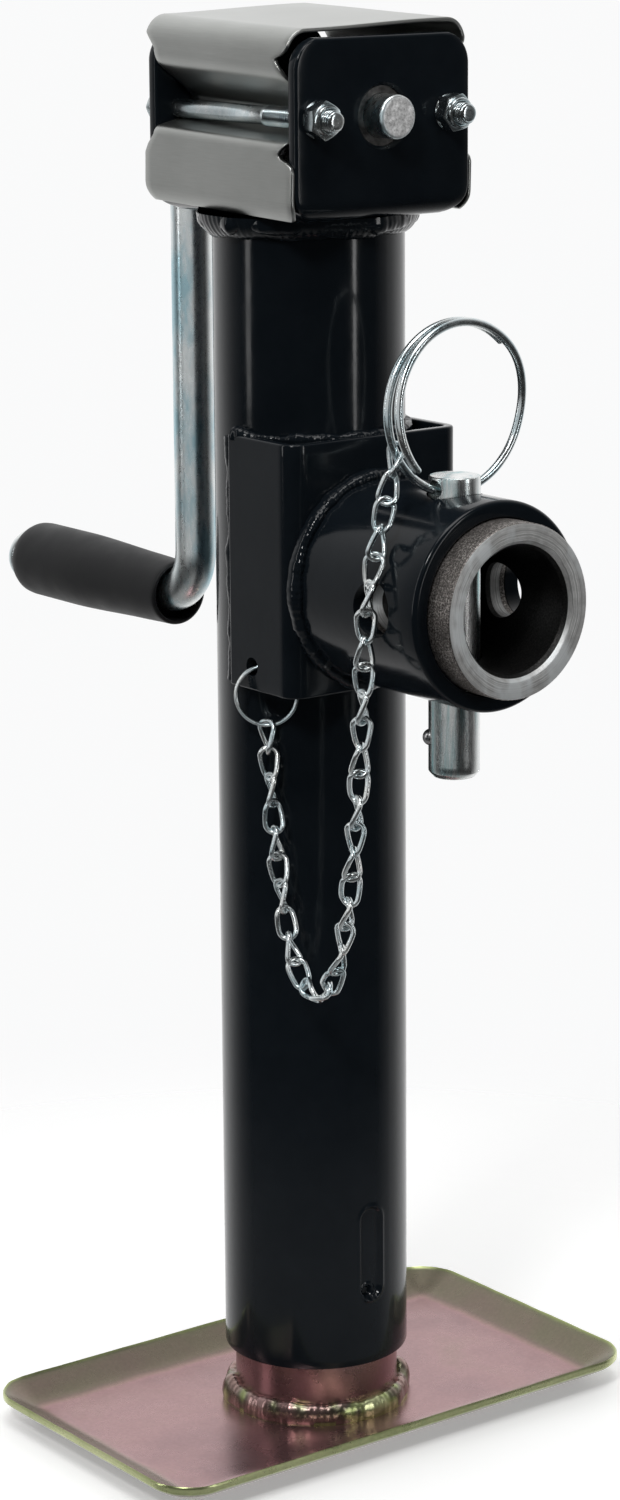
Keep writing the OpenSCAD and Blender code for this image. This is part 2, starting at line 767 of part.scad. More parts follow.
// domed push cap on the bar's end
module grip_cap() {
    rim = 8.8;
    side = 2.6;
    dome = 4;
    dome_r = (rim * rim + dome * dome) / (2 * dome);
    low = grip_end + 0.3;
    color([0.7, 0.72, 0.72]) turned_y(grip_z) difference() {
        intersection() {
            translate([0, low + side + dome - dome_r]) circle(r = dome_r, $fn = fine);
            translate([0, low]) square([rim, side + dome + 1]);
        }
        square([bar_r + 0.02, grip_end + 1.42]);
    }
}

// ---- bracket and mount ----

module swivel_bracket() {
    inner = bracket_corner - bracket_plate;
    depth = flange_back - bracket_face;
    color([0.05, 0.06, 0.07]) difference() {
        translate([0, 0, bracket_low]) linear_extrude(bracket_high - bracket_low) {
            translate([-bracket_x + bracket_corner, bracket_face])
                square([2 * (bracket_x - bracket_corner), bracket_plate]);
            for (side = [0, 1]) mirror([side, 0]) {
                translate([bracket_x - bracket_plate, bracket_face + bracket_corner])
                    square([bracket_plate, depth - bracket_corner]);
                translate([bracket_x - bracket_corner, bracket_face + bracket_corner])
                    sheet_bend(inner, bracket_corner, 270, 360);
            }
        }
        translate([-bracket_x - 1, anchor_hole[1], anchor_hole[2]]) rotate([0, 90, 0])
            cylinder(r = anchor_hole_r, h = bracket_plate + 2, $fn = 48);
    }
}

// beads along the flanges' rear edges, set in the corner against the tube
module bracket_welds() {
    color([0.05, 0.06, 0.07]) for (side = [0, 1]) mirror([side, 0, 0])
        translate([0, 0, bracket_low + 1]) difference() {
            translate([bracket_x - 2.2, flange_back + 1.6, 0])
                cylinder(r = 2.6, h = bracket_high - bracket_low - 2, $fn = fine);
            translate([0, 0, -1]) cylinder(r = tube_r + 0.02, h = 90, $fn = fine);
            translate([20, flange_back - 9.98, -1]) cube([15, 10, 90]);
        }
}

// the four cross holes of the housing and the pipe
module cross_holes() {
    translate([0, pin_y, mount_z]) {
        cylinder(r = cross_hole_r, h = 80, center = true, $fn = fine);
        rotate([0, 90, 0]) cylinder(r = cross_hole_r, h = 80, center = true, $fn = fine);
    }
}

module swivel_housing() {
    color([0.05, 0.06, 0.07]) difference() {
        turned_y(mount_z) polygon([[pipe_r + 0.2, bracket_face], [swivel_r, bracket_face],
            [swivel_r, swivel_front + 1], [swivel_r - 1, swivel_front],
            [pipe_r + 1, swivel_front], [pipe_r + 0.2, swivel_front + 0.8]]);
        cross_holes();
    }
}

module swivel_weld() {
    color([0.05, 0.06, 0.07]) turned_y(mount_z) intersection() {
        translate([swivel_r + 0.2, bracket_face - 1.4]) circle(r = 4.2, $fn = fine);
        translate([swivel_r + 0.02, bracket_face - 8.02]) square([8, 8]);
    }
}

// heavy pipe that welds to a trailer frame; the part inside the housing is turned down a little
module mount_pipe() {
    journal = pipe_r - 0.1;
    color([0.4, 0.4, 0.4]) difference() {
        turned_y(mount_z) polygon([[pipe_bore_r, -33.5], [journal - 1, -33.5], [journal, -34.5],
            [journal, swivel_front], [pipe_r, swivel_front], [pipe_r, pipe_front],
            [pipe_bore_r + 2.6, pipe_front], [pipe_bore_r, pipe_front + 2.6]]);
        cross_holes();
    }
}

// ---- pull pin, rings and chain ----

module pull_pin() {
    color([0.7, 0.75, 0.75]) difference() {
        translate([0, pin_y, 0]) rotate_extrude($fn = fine) polygon([[0, pin_bottom],
            [pin_r - 1.6, pin_bottom], [pin_r, pin_bottom + 1.6], [pin_r, pin_top - 0.5],
            [pin_r - 0.5, pin_top], [0, pin_top]]);
        translate([0, pin_y, ring_hole_z]) rotate([0, 90, 0])
            cylinder(r = ring_hole_r, h = 20, center = true, $fn = fine);
        detent_place() translate([-10, 0, 0]) rotate([0, 90, 0])
            cylinder(r = detent_r + 0.1, h = 10 + pocket_end_x, $fn = 48);
    }
}

module detent_place() {
    translate([0, pin_y, detent_z]) rotate([0, 0, detent_turn]) children();
}

// coil spring behind the ball, drawn as rings
module detent_spring() {
    start = detent_ball_x + 2.2;
    step = (pocket_end_x - spring_wire_r - start) / (spring_rings - 1);
    color([0.5, 0.5, 0.5]) detent_place() for (i = [0:spring_rings - 1])
        translate([start + i * step, 0, 0]) rotate([0, 90, 0]) rotate_extrude($fn = 48)
            translate([spring_r, 0]) circle(r = spring_wire_r, $fn = 24);
}

module detent_ball() {
    color([0.8, 0.8, 0.8]) detent_place()
        translate([detent_ball_x, 0, 0]) sphere(r = detent_r, $fn = 48);
}

// ring of wire with a second part-turn that springs away from its front
module pin_ring() {
    color([0.6, 0.68, 0.7]) translate([0, pin_y, ring_centre_z]) rotate([90, 0, 0]) {
        wire_turn(360);
        translate([0, 0, ring_wire - 0.05]) rotate([0, 0, coil_start]) translate([ring_r, 0, 0])
            rotate([0, coil_splay, 0]) translate([-ring_r, 0, 0]) wire_turn(coil_sweep);
    }
}

module wire_turn(sweep) {
    rotate_extrude(angle = sweep, $fn = fine)
        translate([ring_r, 0]) circle(r = ring_wire / 2, $fn = 48);
}

module anchor_ring() {
    color([0.6, 0.68, 0.7]) translate(anchor_centre) rotate([90, 0, -anchor_turn])
        rotate_extrude($fn = fine) translate([anchor_r, 0]) circle(r = anchor_wire_r, $fn = 48);
}

// an oval link in the XZ plane, long way up Z
module chain_link() {
    wire_r = chain_wire / 2;
    for (side = [0, 180]) rotate([0, side, 0]) {
        translate([link_bend_r, 0, -link_half_straight])
            cylinder(r = wire_r, h = 2 * link_half_straight, $fn = 24);
        translate([0, 0, link_half_straight]) rotate([90, 0, 0]) rotate_extrude(angle = 180, $fn = 48)
            translate([link_bend_r, 0]) circle(r = wire_r, $fn = 24);
    }
}

// one link between two points of the chain, wide way across the span or along it by turns
module placed_link(i) {
    low = chain_point(i * link_pitch);
    high = chain_point((i + 1) * link_pitch);
    z_axis = unit(high - low);
    across = unit([-span_vector[1], span_vector[0], 0]);
    flat = unit(across - (across * z_axis) * z_axis);
    x_axis = i % 2 == 0 ? cross(z_axis, flat) : flat;
    y_axis = cross(z_axis, x_axis);
    mid = (low + high) / 2;
    multmatrix([[x_axis[0], y_axis[0], z_axis[0], mid[0]],
        [x_axis[1], y_axis[1], z_axis[1], mid[1]],
        [x_axis[2], y_axis[2], z_axis[2], mid[2]],
        [0, 0, 0, 1]]) chain_link();
}

module chain_lower() {
    color([0.7, 0.72, 0.72]) for (i = [0:link_count - upper_links - 1]) placed_link(i);
}

module chain_upper() {
    color([0.7, 0.72, 0.72]) for (i = [link_count - upper_links:link_count - 1]) placed_link(i);
}

outer_tube();
gear_housing();
housing_weld();
gear_cover();
cover_bolts();
cover_nuts();
front_bushing();
rear_bushing();
screw_bushing();
thrust_race_upper();
thrust_balls();
swivel_bracket();
bracket_welds();
swivel_housing();
swivel_weld();
mount_pipe();
anchor_ring();
chain_lower();
lead_screw();
thrust_race_lower();
screw_gear();
gear_pin();
crank_bar();
crank_pinion();
pinion_pin();
crank_collar();
grip_cap();
grip();
inner_tube();
lift_nut();
nut_plugs();
foot_plate();
foot_weld();
pull_pin();
detent_spring();
detent_ball();
pin_ring();
chain_upper();
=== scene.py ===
"""Looks for the trailer tongue jack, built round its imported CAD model. Shapes below are in millimetres."""

import json
import math

import bmesh
import bpy
import numpy as np
from mathutils import Matrix, Vector, noise

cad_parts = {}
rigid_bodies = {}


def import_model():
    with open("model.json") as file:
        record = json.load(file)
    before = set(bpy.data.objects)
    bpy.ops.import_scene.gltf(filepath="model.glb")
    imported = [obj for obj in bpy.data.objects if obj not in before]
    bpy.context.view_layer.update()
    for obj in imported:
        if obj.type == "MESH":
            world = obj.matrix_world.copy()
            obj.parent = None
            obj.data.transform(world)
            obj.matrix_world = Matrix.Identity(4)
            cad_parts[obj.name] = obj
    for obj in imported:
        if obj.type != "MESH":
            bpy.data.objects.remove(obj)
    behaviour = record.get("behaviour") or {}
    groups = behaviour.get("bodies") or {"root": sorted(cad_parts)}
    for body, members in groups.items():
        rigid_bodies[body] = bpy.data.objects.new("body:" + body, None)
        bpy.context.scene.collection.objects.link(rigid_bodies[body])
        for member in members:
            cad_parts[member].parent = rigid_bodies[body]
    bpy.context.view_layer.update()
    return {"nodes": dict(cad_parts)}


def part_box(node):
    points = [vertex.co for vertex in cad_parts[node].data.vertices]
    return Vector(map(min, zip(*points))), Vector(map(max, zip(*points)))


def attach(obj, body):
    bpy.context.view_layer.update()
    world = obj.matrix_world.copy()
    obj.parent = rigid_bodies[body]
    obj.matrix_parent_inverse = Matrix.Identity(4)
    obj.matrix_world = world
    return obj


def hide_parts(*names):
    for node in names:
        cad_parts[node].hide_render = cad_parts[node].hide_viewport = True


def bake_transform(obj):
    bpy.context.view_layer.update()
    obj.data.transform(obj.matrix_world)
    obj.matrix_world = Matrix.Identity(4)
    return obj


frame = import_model()
NODES = frame["nodes"]
MM = 0.001


def box(node):
    """Lowest and highest corner of a CAD node, in millimetres."""
    low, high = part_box(node)
    return np.array(low) / MM, np.array(high) / MM


# ---------------------------------------------------------------- materials


def material(name):
    """A new material, its node tree and its shader."""
    mat = bpy.data.materials.new(name)
    mat.use_nodes = True
    tree = mat.node_tree
    shader = tree.nodes["Principled BSDF"]
    return mat, tree, shader


def node(tree, kind, inputs=None, **settings):
    """A shader node; an input is a socket to link or a plain value."""
    made = tree.nodes.new(kind)
    for key, value in settings.items():
        setattr(made, key, value)
    for key, value in (inputs or {}).items():
        socket = made.inputs[key]
        if isinstance(value, bpy.types.NodeSocket):
            tree.links.new(value, socket)
        else:
            socket.default_value = value
    return made


def place(tree, stretch=(1.0, 1.0, 1.0)):
    """Object coordinates in millimetres, stretched along each axis."""
    coordinates = node(tree, "ShaderNodeTexCoord").outputs["Object"]
    scale = tuple(s / MM for s in stretch)
    return node(tree, "ShaderNodeMapping", {"Vector": coordinates, "Scale": scale}).outputs["Vector"]


def noise_of(tree, wavelength, detail=3.0, rough=0.55, stretch=(1.0, 1.0, 1.0), distortion=0.0):
    """A noise whose features are about wavelength millimetres across."""
    inputs = {"Vector": place(tree, stretch), "Scale": 1.0 / wavelength, "Detail": detail, "Roughness": rough,
              "Distortion": distortion}
    return node(tree, "ShaderNodeTexNoise", inputs).outputs["Fac"]


def ramp(tree, factor, stops, interpolation="LINEAR"):
    """A colour ramp: stops are (position, colour)."""
    made = node(tree, "ShaderNodeValToRGB", {"Fac": factor})
    made.color_ramp.interpolation = interpolation
    elements = made.color_ramp.elements
    while len(elements) < len(stops):
        elements.new(0.5)
    for element, (position, colour) in zip(elements, stops):
        element.position = position
        element.color = colour if len(colour) == 4 else (*colour, 1.0)
    return made.outputs["Color"]


def grey(value):
    return (value, value, value)


def mix(tree, factor, a, b, blend="MIX"):
    """Two colours mixed by a factor."""
    made = node(tree, "ShaderNodeMix", data_type="RGBA", blend_type=blend)
    for key, value in (("Factor", factor), ("A", a), ("B", b)):
        socket = [s for s in made.inputs if s.name == key and s.enabled][0]
        if isinstance(value, bpy.types.NodeSocket):
            tree.links.new(value, socket)
        elif key == "Factor":
            socket.default_value = value
        else:
            socket.default_value = (*value, 1.0) if len(value) == 3 else value
    return [s for s in made.outputs if s.enabled][0]


def bump(tree, shader, layers):
    """Bumps added one on the other: (height socket, height in millimetres)."""
    normal = None
    for height, depth in layers:
        inputs = {"Height": height, "Distance": depth * MM, "Strength": 1.0}
        if normal is not None:
            inputs["Normal"] = normal
        normal = node(tree, "ShaderNodeBump", inputs).outputs["Normal"]
    tree.links.new(normal, shader.inputs["Normal"])


def link(tree, socket, shader, name):
    tree.links.new(socket, shader.inputs[name])


def coat_material():
    """Gloss black powder coat with orange peel and a little dust."""
    mat, tree, shader = material("powder_coat_black")
    dust = noise_of(tree, 14, 5, 0.65)
    link(tree, ramp(tree, dust, [(0.3, (0.0058, 0.0086, 0.0118)), (0.75, (0.0085, 0.0118, 0.0155))]),
         shader, "Base Color")
    link(tree, ramp(tree, noise_of(tree, 9, 4), [(0.3, grey(0.11)), (0.8, grey(0.2))]), shader, "Roughness")
    shader.inputs["Specular IOR Level"].default_value = 0.2
    shader.inputs["Coat Weight"].default_value = 0.12
    shader.inputs["Coat Roughness"].default_value = 0.07
    bump(tree, shader, [(noise_of(tree, 3.0, 2, 0.45), 0.022), (noise_of(tree, 24, 1), 0.09)])
    return mat


def cover_material():
    """Galvanized sheet: satin grey with a fine rolled grain."""
    mat, tree, shader = material("galvanized_sheet")
    cloudy = noise_of(tree, 38, 4, 0.55)
    grain = noise_of(tree, 0.35, 3, 0.6, (1.0, 0.04, 1.0))
    tone = ramp(tree, cloudy, [(0.3, (0.43, 0.44, 0.425)), (0.7, (0.5, 0.51, 0.495))])
    streak = ramp(tree, grain, [(0.25, grey(0.93)), (0.75, grey(1.05))])
    link(tree, mix(tree, 1.0, tone, streak, "MULTIPLY"), shader, "Base Color")
    shader.inputs["Metallic"].default_value = 1.0
    link(tree, ramp(tree, grain, [(0.2, grey(0.29)), (0.8, grey(0.37))]), shader, "Roughness")
    bump(tree, shader, [(grain, 0.004), (noise_of(tree, 60, 1), 0.2)])
    return mat


def zinc_material(name, tint, low, high, rough, grain_stretch, peel):
    """Bright zinc plate whose colour drifts between silver and blue-green."""
    mat, tree, shader = material(name)
    drift = noise_of(tree, 11, 4, 0.6, grain_stretch)
    worked = node(tree, "ShaderNodeAttribute", attribute_name="zone").outputs["Fac"]
    plated = ramp(tree, drift, [(0.36, low), (0.5, tint), (0.66, high)])
    hammered = ramp(tree, noise_of(tree, 0.9, 4, 0.7),
                    [(0.3, grey(0.35)), (0.5, grey(0.72)), (0.68, grey(1.0))])
    link(tree, mix(tree, worked, plated, hammered), shader, "Base Color")
    link(tree, ramp(tree, worked, [(0.0, grey(1.0)), (1.0, grey(0.35))]), shader, "Metallic")
    fine = noise_of(tree, 1.1, 4, 0.65, grain_stretch)
    smoothness = ramp(tree, fine, [(0.25, grey(rough)), (0.8, grey(rough + 0.16))])
    link(tree, mix(tree, worked, smoothness, grey(0.45)), shader, "Roughness")
    bump(tree, shader, [(fine, peel), (noise_of(tree, 5, 3), peel * 1.4)])
    return mat


def machined_material():
    """Pipe steel: dark mill scale outside, turned rings with painted sheen on the mouth, and near-black
    painted shade in the bore.
    """
    mat, tree, shader = material("machined_and_scaled_steel")
    split = node(tree, "ShaderNodeAttribute", attribute_name="zone").outputs["Fac"]
    speck = noise_of(tree, 0.55, 3, 0.7)
    cloud = noise_of(tree, 7, 4, 0.6)
    outside = ramp(tree, speck,
                   [(0.36, (0.05, 0.045, 0.042)), (0.5, (0.17, 0.155, 0.145)), (0.64, (0.6, 0.56, 0.53))])
    outside = mix(tree, ramp(tree, cloud, [(0.42, grey(0.0)), (0.72, grey(0.6))]), outside,
                  (0.085, 0.078, 0.074))
    # the bore's near-black colour is painted shade: the same steel as outside, darkened because the bore lies
    # in shade
    bore = ramp(tree, speck, [(0.4, (0.012, 0.012, 0.012)), (0.8, (0.045, 0.043, 0.042))])
    inside = node(tree, "ShaderNodeMath", {0: split, 1: 1.5}, operation="GREATER_THAN").outputs[0]
    face = node(tree, "ShaderNodeMath", {0: split, 1: 0.5}, operation="GREATER_THAN").outputs[0]
    # mill scale outside, painted shade in the bore
    scale_and_bore_shade = mix(tree, inside, outside, bore)
    on_face = node(tree, "ShaderNodeMath", {0: face, 1: inside}, operation="SUBTRACT").outputs[0]
    parts = node(tree, "ShaderNodeSeparateXYZ", {"Vector": place(tree)})
    height = node(tree, "ShaderNodeMath", {0: parts.outputs["Z"], 1: float(MOUNT_Z)}, operation="SUBTRACT")
    flat = node(tree, "ShaderNodeCombineXYZ", {"X": parts.outputs["X"], "Y": height.outputs[0]})
    radius = node(tree, "ShaderNodeVectorMath", {0: flat.outputs[0]}, operation="LENGTH").outputs["Value"]
    wander = node(tree, "ShaderNodeMath", {0: noise_of(tree, 9, 2), 1: 1.6, 2: radius},
                  operation="MULTIPLY_ADD")
    turning = {"W": wander.outputs[0], "Scale": 2.3, "Detail": 3.0, "Roughness": 0.7}
    rings = node(tree, "ShaderNodeTexNoise", turning, noise_dimensions="1D")
    ring_tone = ramp(tree, rings.outputs["Fac"],
                     [(0.3, (0.34, 0.34, 0.34)), (0.5, (0.62, 0.62, 0.61)), (0.7, (0.93, 0.94, 0.94))])
    patch = ramp(tree, noise_of(tree, 4, 4, 0.7), [(0.4, grey(0.0)), (0.75, grey(0.7))])
    ring_tone = mix(tree, patch, ring_tone, (0.34, 0.34, 0.335))
    # painted sheen: near-white patches mixed into the mouth's colour stand in for highlights
    painted_sheen = ramp(tree, noise_of(tree, 11, 3, 0.6, (1.0, 1.0, 0.6)), [(0.48, grey(0.0)), (0.62, grey(0.8))])
    ring_tone = mix(tree, painted_sheen, ring_tone, (0.9, 0.94, 0.95))
    link(tree, mix(tree, on_face, scale_and_bore_shade, ring_tone), shader, "Base Color")
    link(tree, ramp(tree, on_face, [(0.0, grey(0.75)), (1.0, grey(0.5))]), shader, "Metallic")
    rough = mix(tree, on_face, ramp(tree, speck, [(0.3, grey(0.6)), (0.7, grey(0.36))]),
                ramp(tree, rings.outputs["Fac"], [(0.3, grey(0.5)), (0.7, grey(0.36))]))
    link(tree, rough, shader, "Roughness")
    bump(tree, shader, [(speck, 0.03), (rings.outputs["Fac"], 0.025)])
    return mat


def passivate_material():
    """Yellow zinc: mauve on the flats, olive on the slopes, and bright lime on edges and beads, the lime
    partly the film's own colour and partly painted highlight.
    """
    mat, tree, shader = material("yellow_zinc")
    zone = node(tree, "ShaderNodeAttribute", attribute_name="zone").outputs["Fac"]
    drift = noise_of(tree, 34, 4, 0.55, distortion=0.6)
    shifted = node(tree, "ShaderNodeMath", {0: drift, 1: 0.34, 2: zone}, operation="MULTIPLY_ADD").outputs[0]
    film_and_edge_highlight = ramp(
        tree,
        shifted,
        [
            (0.08, (0.33, 0.205, 0.215)),
            (0.20, (0.42, 0.255, 0.26)),
            (0.30, (0.37, 0.25, 0.225)),
            (0.44, (0.255, 0.195, 0.165)),
            (0.60, (0.225, 0.215, 0.145)),
            # the top stops, reached on edges and beads, paint a highlight over the film's own lime
            (0.78, (0.40, 0.46, 0.2)),
            (0.97, (0.78, 0.82, 0.46)),
        ],
    )
    fleck = ramp(tree, noise_of(tree, 1.1, 3, 0.6), [(0.35, grey(0.93)), (0.7, grey(1.05))])
    link(tree, mix(tree, 1.0, film_and_edge_highlight, fleck, "MULTIPLY"), shader, "Base Color")
    shader.inputs["Metallic"].default_value = 0.92
    link(tree, ramp(tree, noise_of(tree, 9, 4, 0.6), [(0.25, grey(0.24)), (0.8, grey(0.34))]), shader,
         "Roughness")
    bump(tree, shader, [(noise_of(tree, 0.7, 2, 0.5), 0.006), (noise_of(tree, 22, 2), 0.08)])
    return mat


def rubber_material():
    """Matte black moulded rubber."""
    mat, tree, shader = material("grip_rubber")
    cloud = noise_of(tree, 12, 4, 0.6)
    link(tree, ramp(tree, cloud, [(0.3, (0.0075, 0.008, 0.009)), (0.75, (0.0125, 0.013, 0.0145))]), shader,
         "Base Color")
    link(tree, ramp(tree, cloud, [(0.3, grey(0.42)), (0.75, grey(0.58))]), shader, "Roughness")
    shader.inputs["Specular IOR Level"].default_value = 0.28
    bump(tree, shader, [(noise_of(tree, 0.45, 3, 0.6), 0.014), (noise_of(tree, 8, 2), 0.05)])
    return mat


def dull_material(name, dark, light, metallic, rough):
    """A plain worked metal for bushings and the hidden works."""
    mat, tree, shader = material(name)
    link(tree, ramp(tree, noise_of(tree, 3, 4), [(0.3, dark), (0.7, light)]), shader, "Base Color")
    shader.inputs["Metallic"].default_value = metallic
    link(tree, ramp(tree, noise_of(tree, 1.2, 3), [(0.3, grey(rough)), (0.7, grey(rough + 0.12))]), shader,
         "Roughness")
    bump(tree, shader, [(noise_of(tree, 0.8, 3), 0.012)])
    return mat


PIPE_LOW, PIPE_HIGH = box("mount_pipe")
MOUNT_Z = round(float((PIPE_LOW[2] + PIPE_HIGH[2]) / 2), 2)
COAT = coat_material()
COVER = cover_material()
ZINC = zinc_material("bright_zinc_bar", (0.68, 0.73, 0.74), (0.36, 0.54, 0.6), (0.86, 0.88, 0.87), 0.22,
                     (1, 1, 0.35), 0.009)
ZINC_WIRE = zinc_material("bright_zinc_wire", (0.66, 0.72, 0.74), (0.5, 0.6, 0.63), (0.8, 0.82, 0.81), 0.16,
                          (1, 1, 1), 0.006)
ZINC_PIN = zinc_material("bright_zinc_pin", (0.7, 0.73, 0.73), (0.3, 0.5, 0.52), (0.88, 0.88, 0.87), 0.2,
                         (2.4, 2.4, 0.22), 0.02)
STEEL = machined_material()
YELLOW = passivate_material()
RUBBER = rubber_material()
DARK = dull_material("dark_oiled_steel", (0.012, 0.012, 0.013), (0.03, 0.03, 0.032), 0.6, 0.35)
WORN = dull_material("worn_steel", (0.035, 0.033, 0.032), (0.2, 0.195, 0.19), 0.7, 0.35)
BRIGHT = dull_material("ground_steel", (0.4, 0.4, 0.41), (0.6, 0.6, 0.6), 1.0, 0.22)
BRONZE = dull_material("bearing_bronze", (0.45, 0.28, 0.12), (0.62, 0.42, 0.2), 1.0, 0.3)


# ---------------------------------------------------------------- mesh tools


class Shape:
    """Vertices and faces gathered from several pieces, with a number per vertex for the material."""

    def __init__(self):
        self.verts, self.faces, self.zones = [], [], []

    def add(self, made, zone=0.0):
        verts, faces = made
        start = len(self.verts)
        self.verts.extend(np.asarray(verts, float).tolist())
        self.faces.extend([[i + start for i in f] for f in faces])
        zones = np.broadcast_to(np.asarray(zone, float), (len(verts),))
        self.zones.extend(zones.tolist())
        return self


def grid(points, wrap_rows=False, wrap_cols=True, caps=(False, False)):
    """Vertices and faces of rows of points; a cap closes the first or the last row."""
    pts = np.asarray(points, float)
    rows, cols = pts.shape[:2]
    index = np.arange(rows * cols).reshape(rows, cols)
    base = index if wrap_rows else index[:-1]
    down = np.roll(index, -1, 0) if wrap_rows else index[1:]
    if wrap_cols:
        corners = [base, np.roll(base, -1, 1), np.roll(down, -1, 1), down]
    else:
        corners = [base[:, :-1], base[:, 1:], down[:, 1:], down[:, :-1]]
    faces = np.stack(corners, -1).reshape(-1, 4).tolist()
    if caps[0]:
        faces.append(index[0][::-1].tolist())
    if caps[1]:
        faces.append(index[-1].tolist())
    return pts.reshape(-1, 3), faces


AXES = {"x": (1, 2, 0), "y": (0, 2, 1), "z": (0, 1, 2)}


def turned(profile, axis, centre, sides=96, closed=False):
    """A body of revolution. profile is (radius, height along the axis); closed joins its ends."""
    a = np.linspace(0, 2 * math.pi, sides, endpoint=False)
    first, second, along = AXES[axis]
    profile = np.asarray(profile, float)
    pts = np.zeros((len(profile), sides, 3))
    pts[:, :, first] = centre[first] + profile[:, :1] * np.cos(a)
    pts[:, :, second] = centre[second] + profile[:, :1] * np.sin(a)
    pts[:, :, along] = profile[:, 1:2]
    return grid(pts, wrap_rows=closed)


def rounded(points, radii, steps=4):
    """A closed polygon with its corners rounded; radii is one number for each corner."""
    pts = np.asarray(points, float)
    out = []
    for i, p in enumerate(pts):
        u, w = pts[i - 1] - p, pts[(i + 1) % len(pts)] - p
        lu, lw = np.linalg.norm(u), np.linalg.norm(w)
        u, w = u / lu, w / lw
        half = math.acos(max(-1.0, min(1.0, float(u @ w)))) / 2
        r = radii[i]
        if r <= 0 or half > math.pi / 2 - 0.02:
            out.append(p)
            continue
        cut = min(r / math.tan(half), 0.49 * lu, 0.49 * lw)
        r = cut * math.tan(half)
        middle = (u + w) / np.linalg.norm(u + w)
        centre = p + middle * r / math.sin(half)
        start, end = p + u * cut - centre, p + w * cut - centre
        sweep = math.acos(max(-1.0, min(1.0, float(start @ end) / r**2)))
        for k in range(steps + 1):
            t = k / steps
            turned_by = start * math.sin((1 - t) * sweep) + end * math.sin(t * sweep)
            out.append(centre + turned_by / math.sin(sweep))
    return out


def turn_outward(mesh, merge=0.0):
    """Joins doubled points and turns every face outward."""
    bm = bmesh.new()
    bm.from_mesh(mesh)
    if merge:
        bmesh.ops.remove_doubles(bm, verts=bm.verts, dist=merge)
    bmesh.ops.recalc_face_normals(bm, faces=bm.faces)
    bm.to_mesh(mesh)
    bm.free()


def new_object(name, shape, zones=False, merge=0.0):
    """An object in the scene from a shape in millimetres."""
    mesh = bpy.data.meshes.new(name)
    mesh.from_pydata((np.array(shape.verts) * MM).tolist(), [], shape.faces)
    if zones:
        zone = mesh.attributes.new("zone", "FLOAT", "POINT")
        zone.data.foreach_set("value", np.array(shape.zones, np.float32))
    turn_outward(mesh, merge)
    obj = bpy.data.objects.new(name, mesh)
    bpy.context.scene.collection.objects.link(obj)
    return obj


def piece(name, shape, mat, body, stands_for=(), sharp=38.0):
    """Makes a mesh piece that rides on a body; stands_for are the CAD nodes it replaces."""
    return finish(new_object(name, shape, zones=True, merge=2e-7), mat, body, stands_for, sharp)


def finish(obj, mat, body, stands_for, sharp):
    """Gives a piece its material, its smooth and sharp edges, and its place in the frame."""
    mesh = obj.data
    mesh.materials.clear()
    mesh.materials.append(mat)
    mesh.polygons.foreach_set("use_smooth", [True] * len(mesh.polygons))
    mesh.set_sharp_from_angle(angle=math.radians(sharp))
    if body:
        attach(obj, body)
    if stands_for:
        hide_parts(*stands_for)
    return obj


def cut(obj, cutters):
    """Takes the cutters' shapes out of a piece."""
    for k, shape in enumerate(cutters):
        tool = new_object(f"cutter_{k}", shape)
        modifier = obj.modifiers.new("cut", "BOOLEAN")
        modifier.operation, modifier.solver, modifier.object = "DIFFERENCE", "EXACT", tool
        bpy.context.view_layer.update()
        result = bpy.data.meshes.new_from_object(obj.evaluated_get(bpy.context.evaluated_depsgraph_get()))
        obj.modifiers.clear()
        old, obj.data = obj.data, result
        bpy.data.meshes.remove(old)
        bpy.data.objects.remove(tool)
    return obj


def rod(radius, axis, centre, low, high, sides=64):
    """A closed cylinder from low to high along an axis."""
    made = turned([(radius, low), (radius, high)], axis, centre, sides)
    faces = made[1] + [list(range(sides))[::-1], list(range(sides, 2 * sides))]
    return Shape().add((made[0], faces))


def sweep(centres, radius, sides=32, closed=False, caps=True):
    """A round wire along a smooth line of points."""
    c = np.asarray(centres, float)
    tangents = np.roll(c, -1, 0) - np.roll(c, 1, 0) if closed else np.gradient(c, axis=0)
    tangents /= np.linalg.norm(tangents, axis=1)[:, None]
    side = np.cross(tangents[0], (0.31, 0.17, 0.94))
    side /= np.linalg.norm(side)
    a = np.linspace(0, 2 * math.pi, sides, endpoint=False)
    radii = np.broadcast_to(np.asarray(radius, float), (len(c),))
    loops = []
    for p, t, r in zip(c, tangents, radii):
        side = side - (side @ t) * t
        side /= np.linalg.norm(side)
        other = np.cross(t, side)
        loops.append(p + r * (np.outer(np.cos(a), side) + np.outer(np.sin(a), other)))
    if closed:
        # turn the last loops so that the seam meets
        first = loops[0][0] - c[0]
        t = tangents[0]
        end = side - (side @ t) * t
        gap = math.atan2(float(np.cross(end, first) @ t), float(end @ first))
        for k, (p, t) in enumerate(zip(c, tangents)):
            turn = gap * k / len(c)
            v = loops[k] - p
            loops[k] = p + v * math.cos(turn) + np.cross(t, v) * math.sin(turn)
    return grid(loops, wrap_rows=closed, caps=(caps and not closed, caps and not closed))


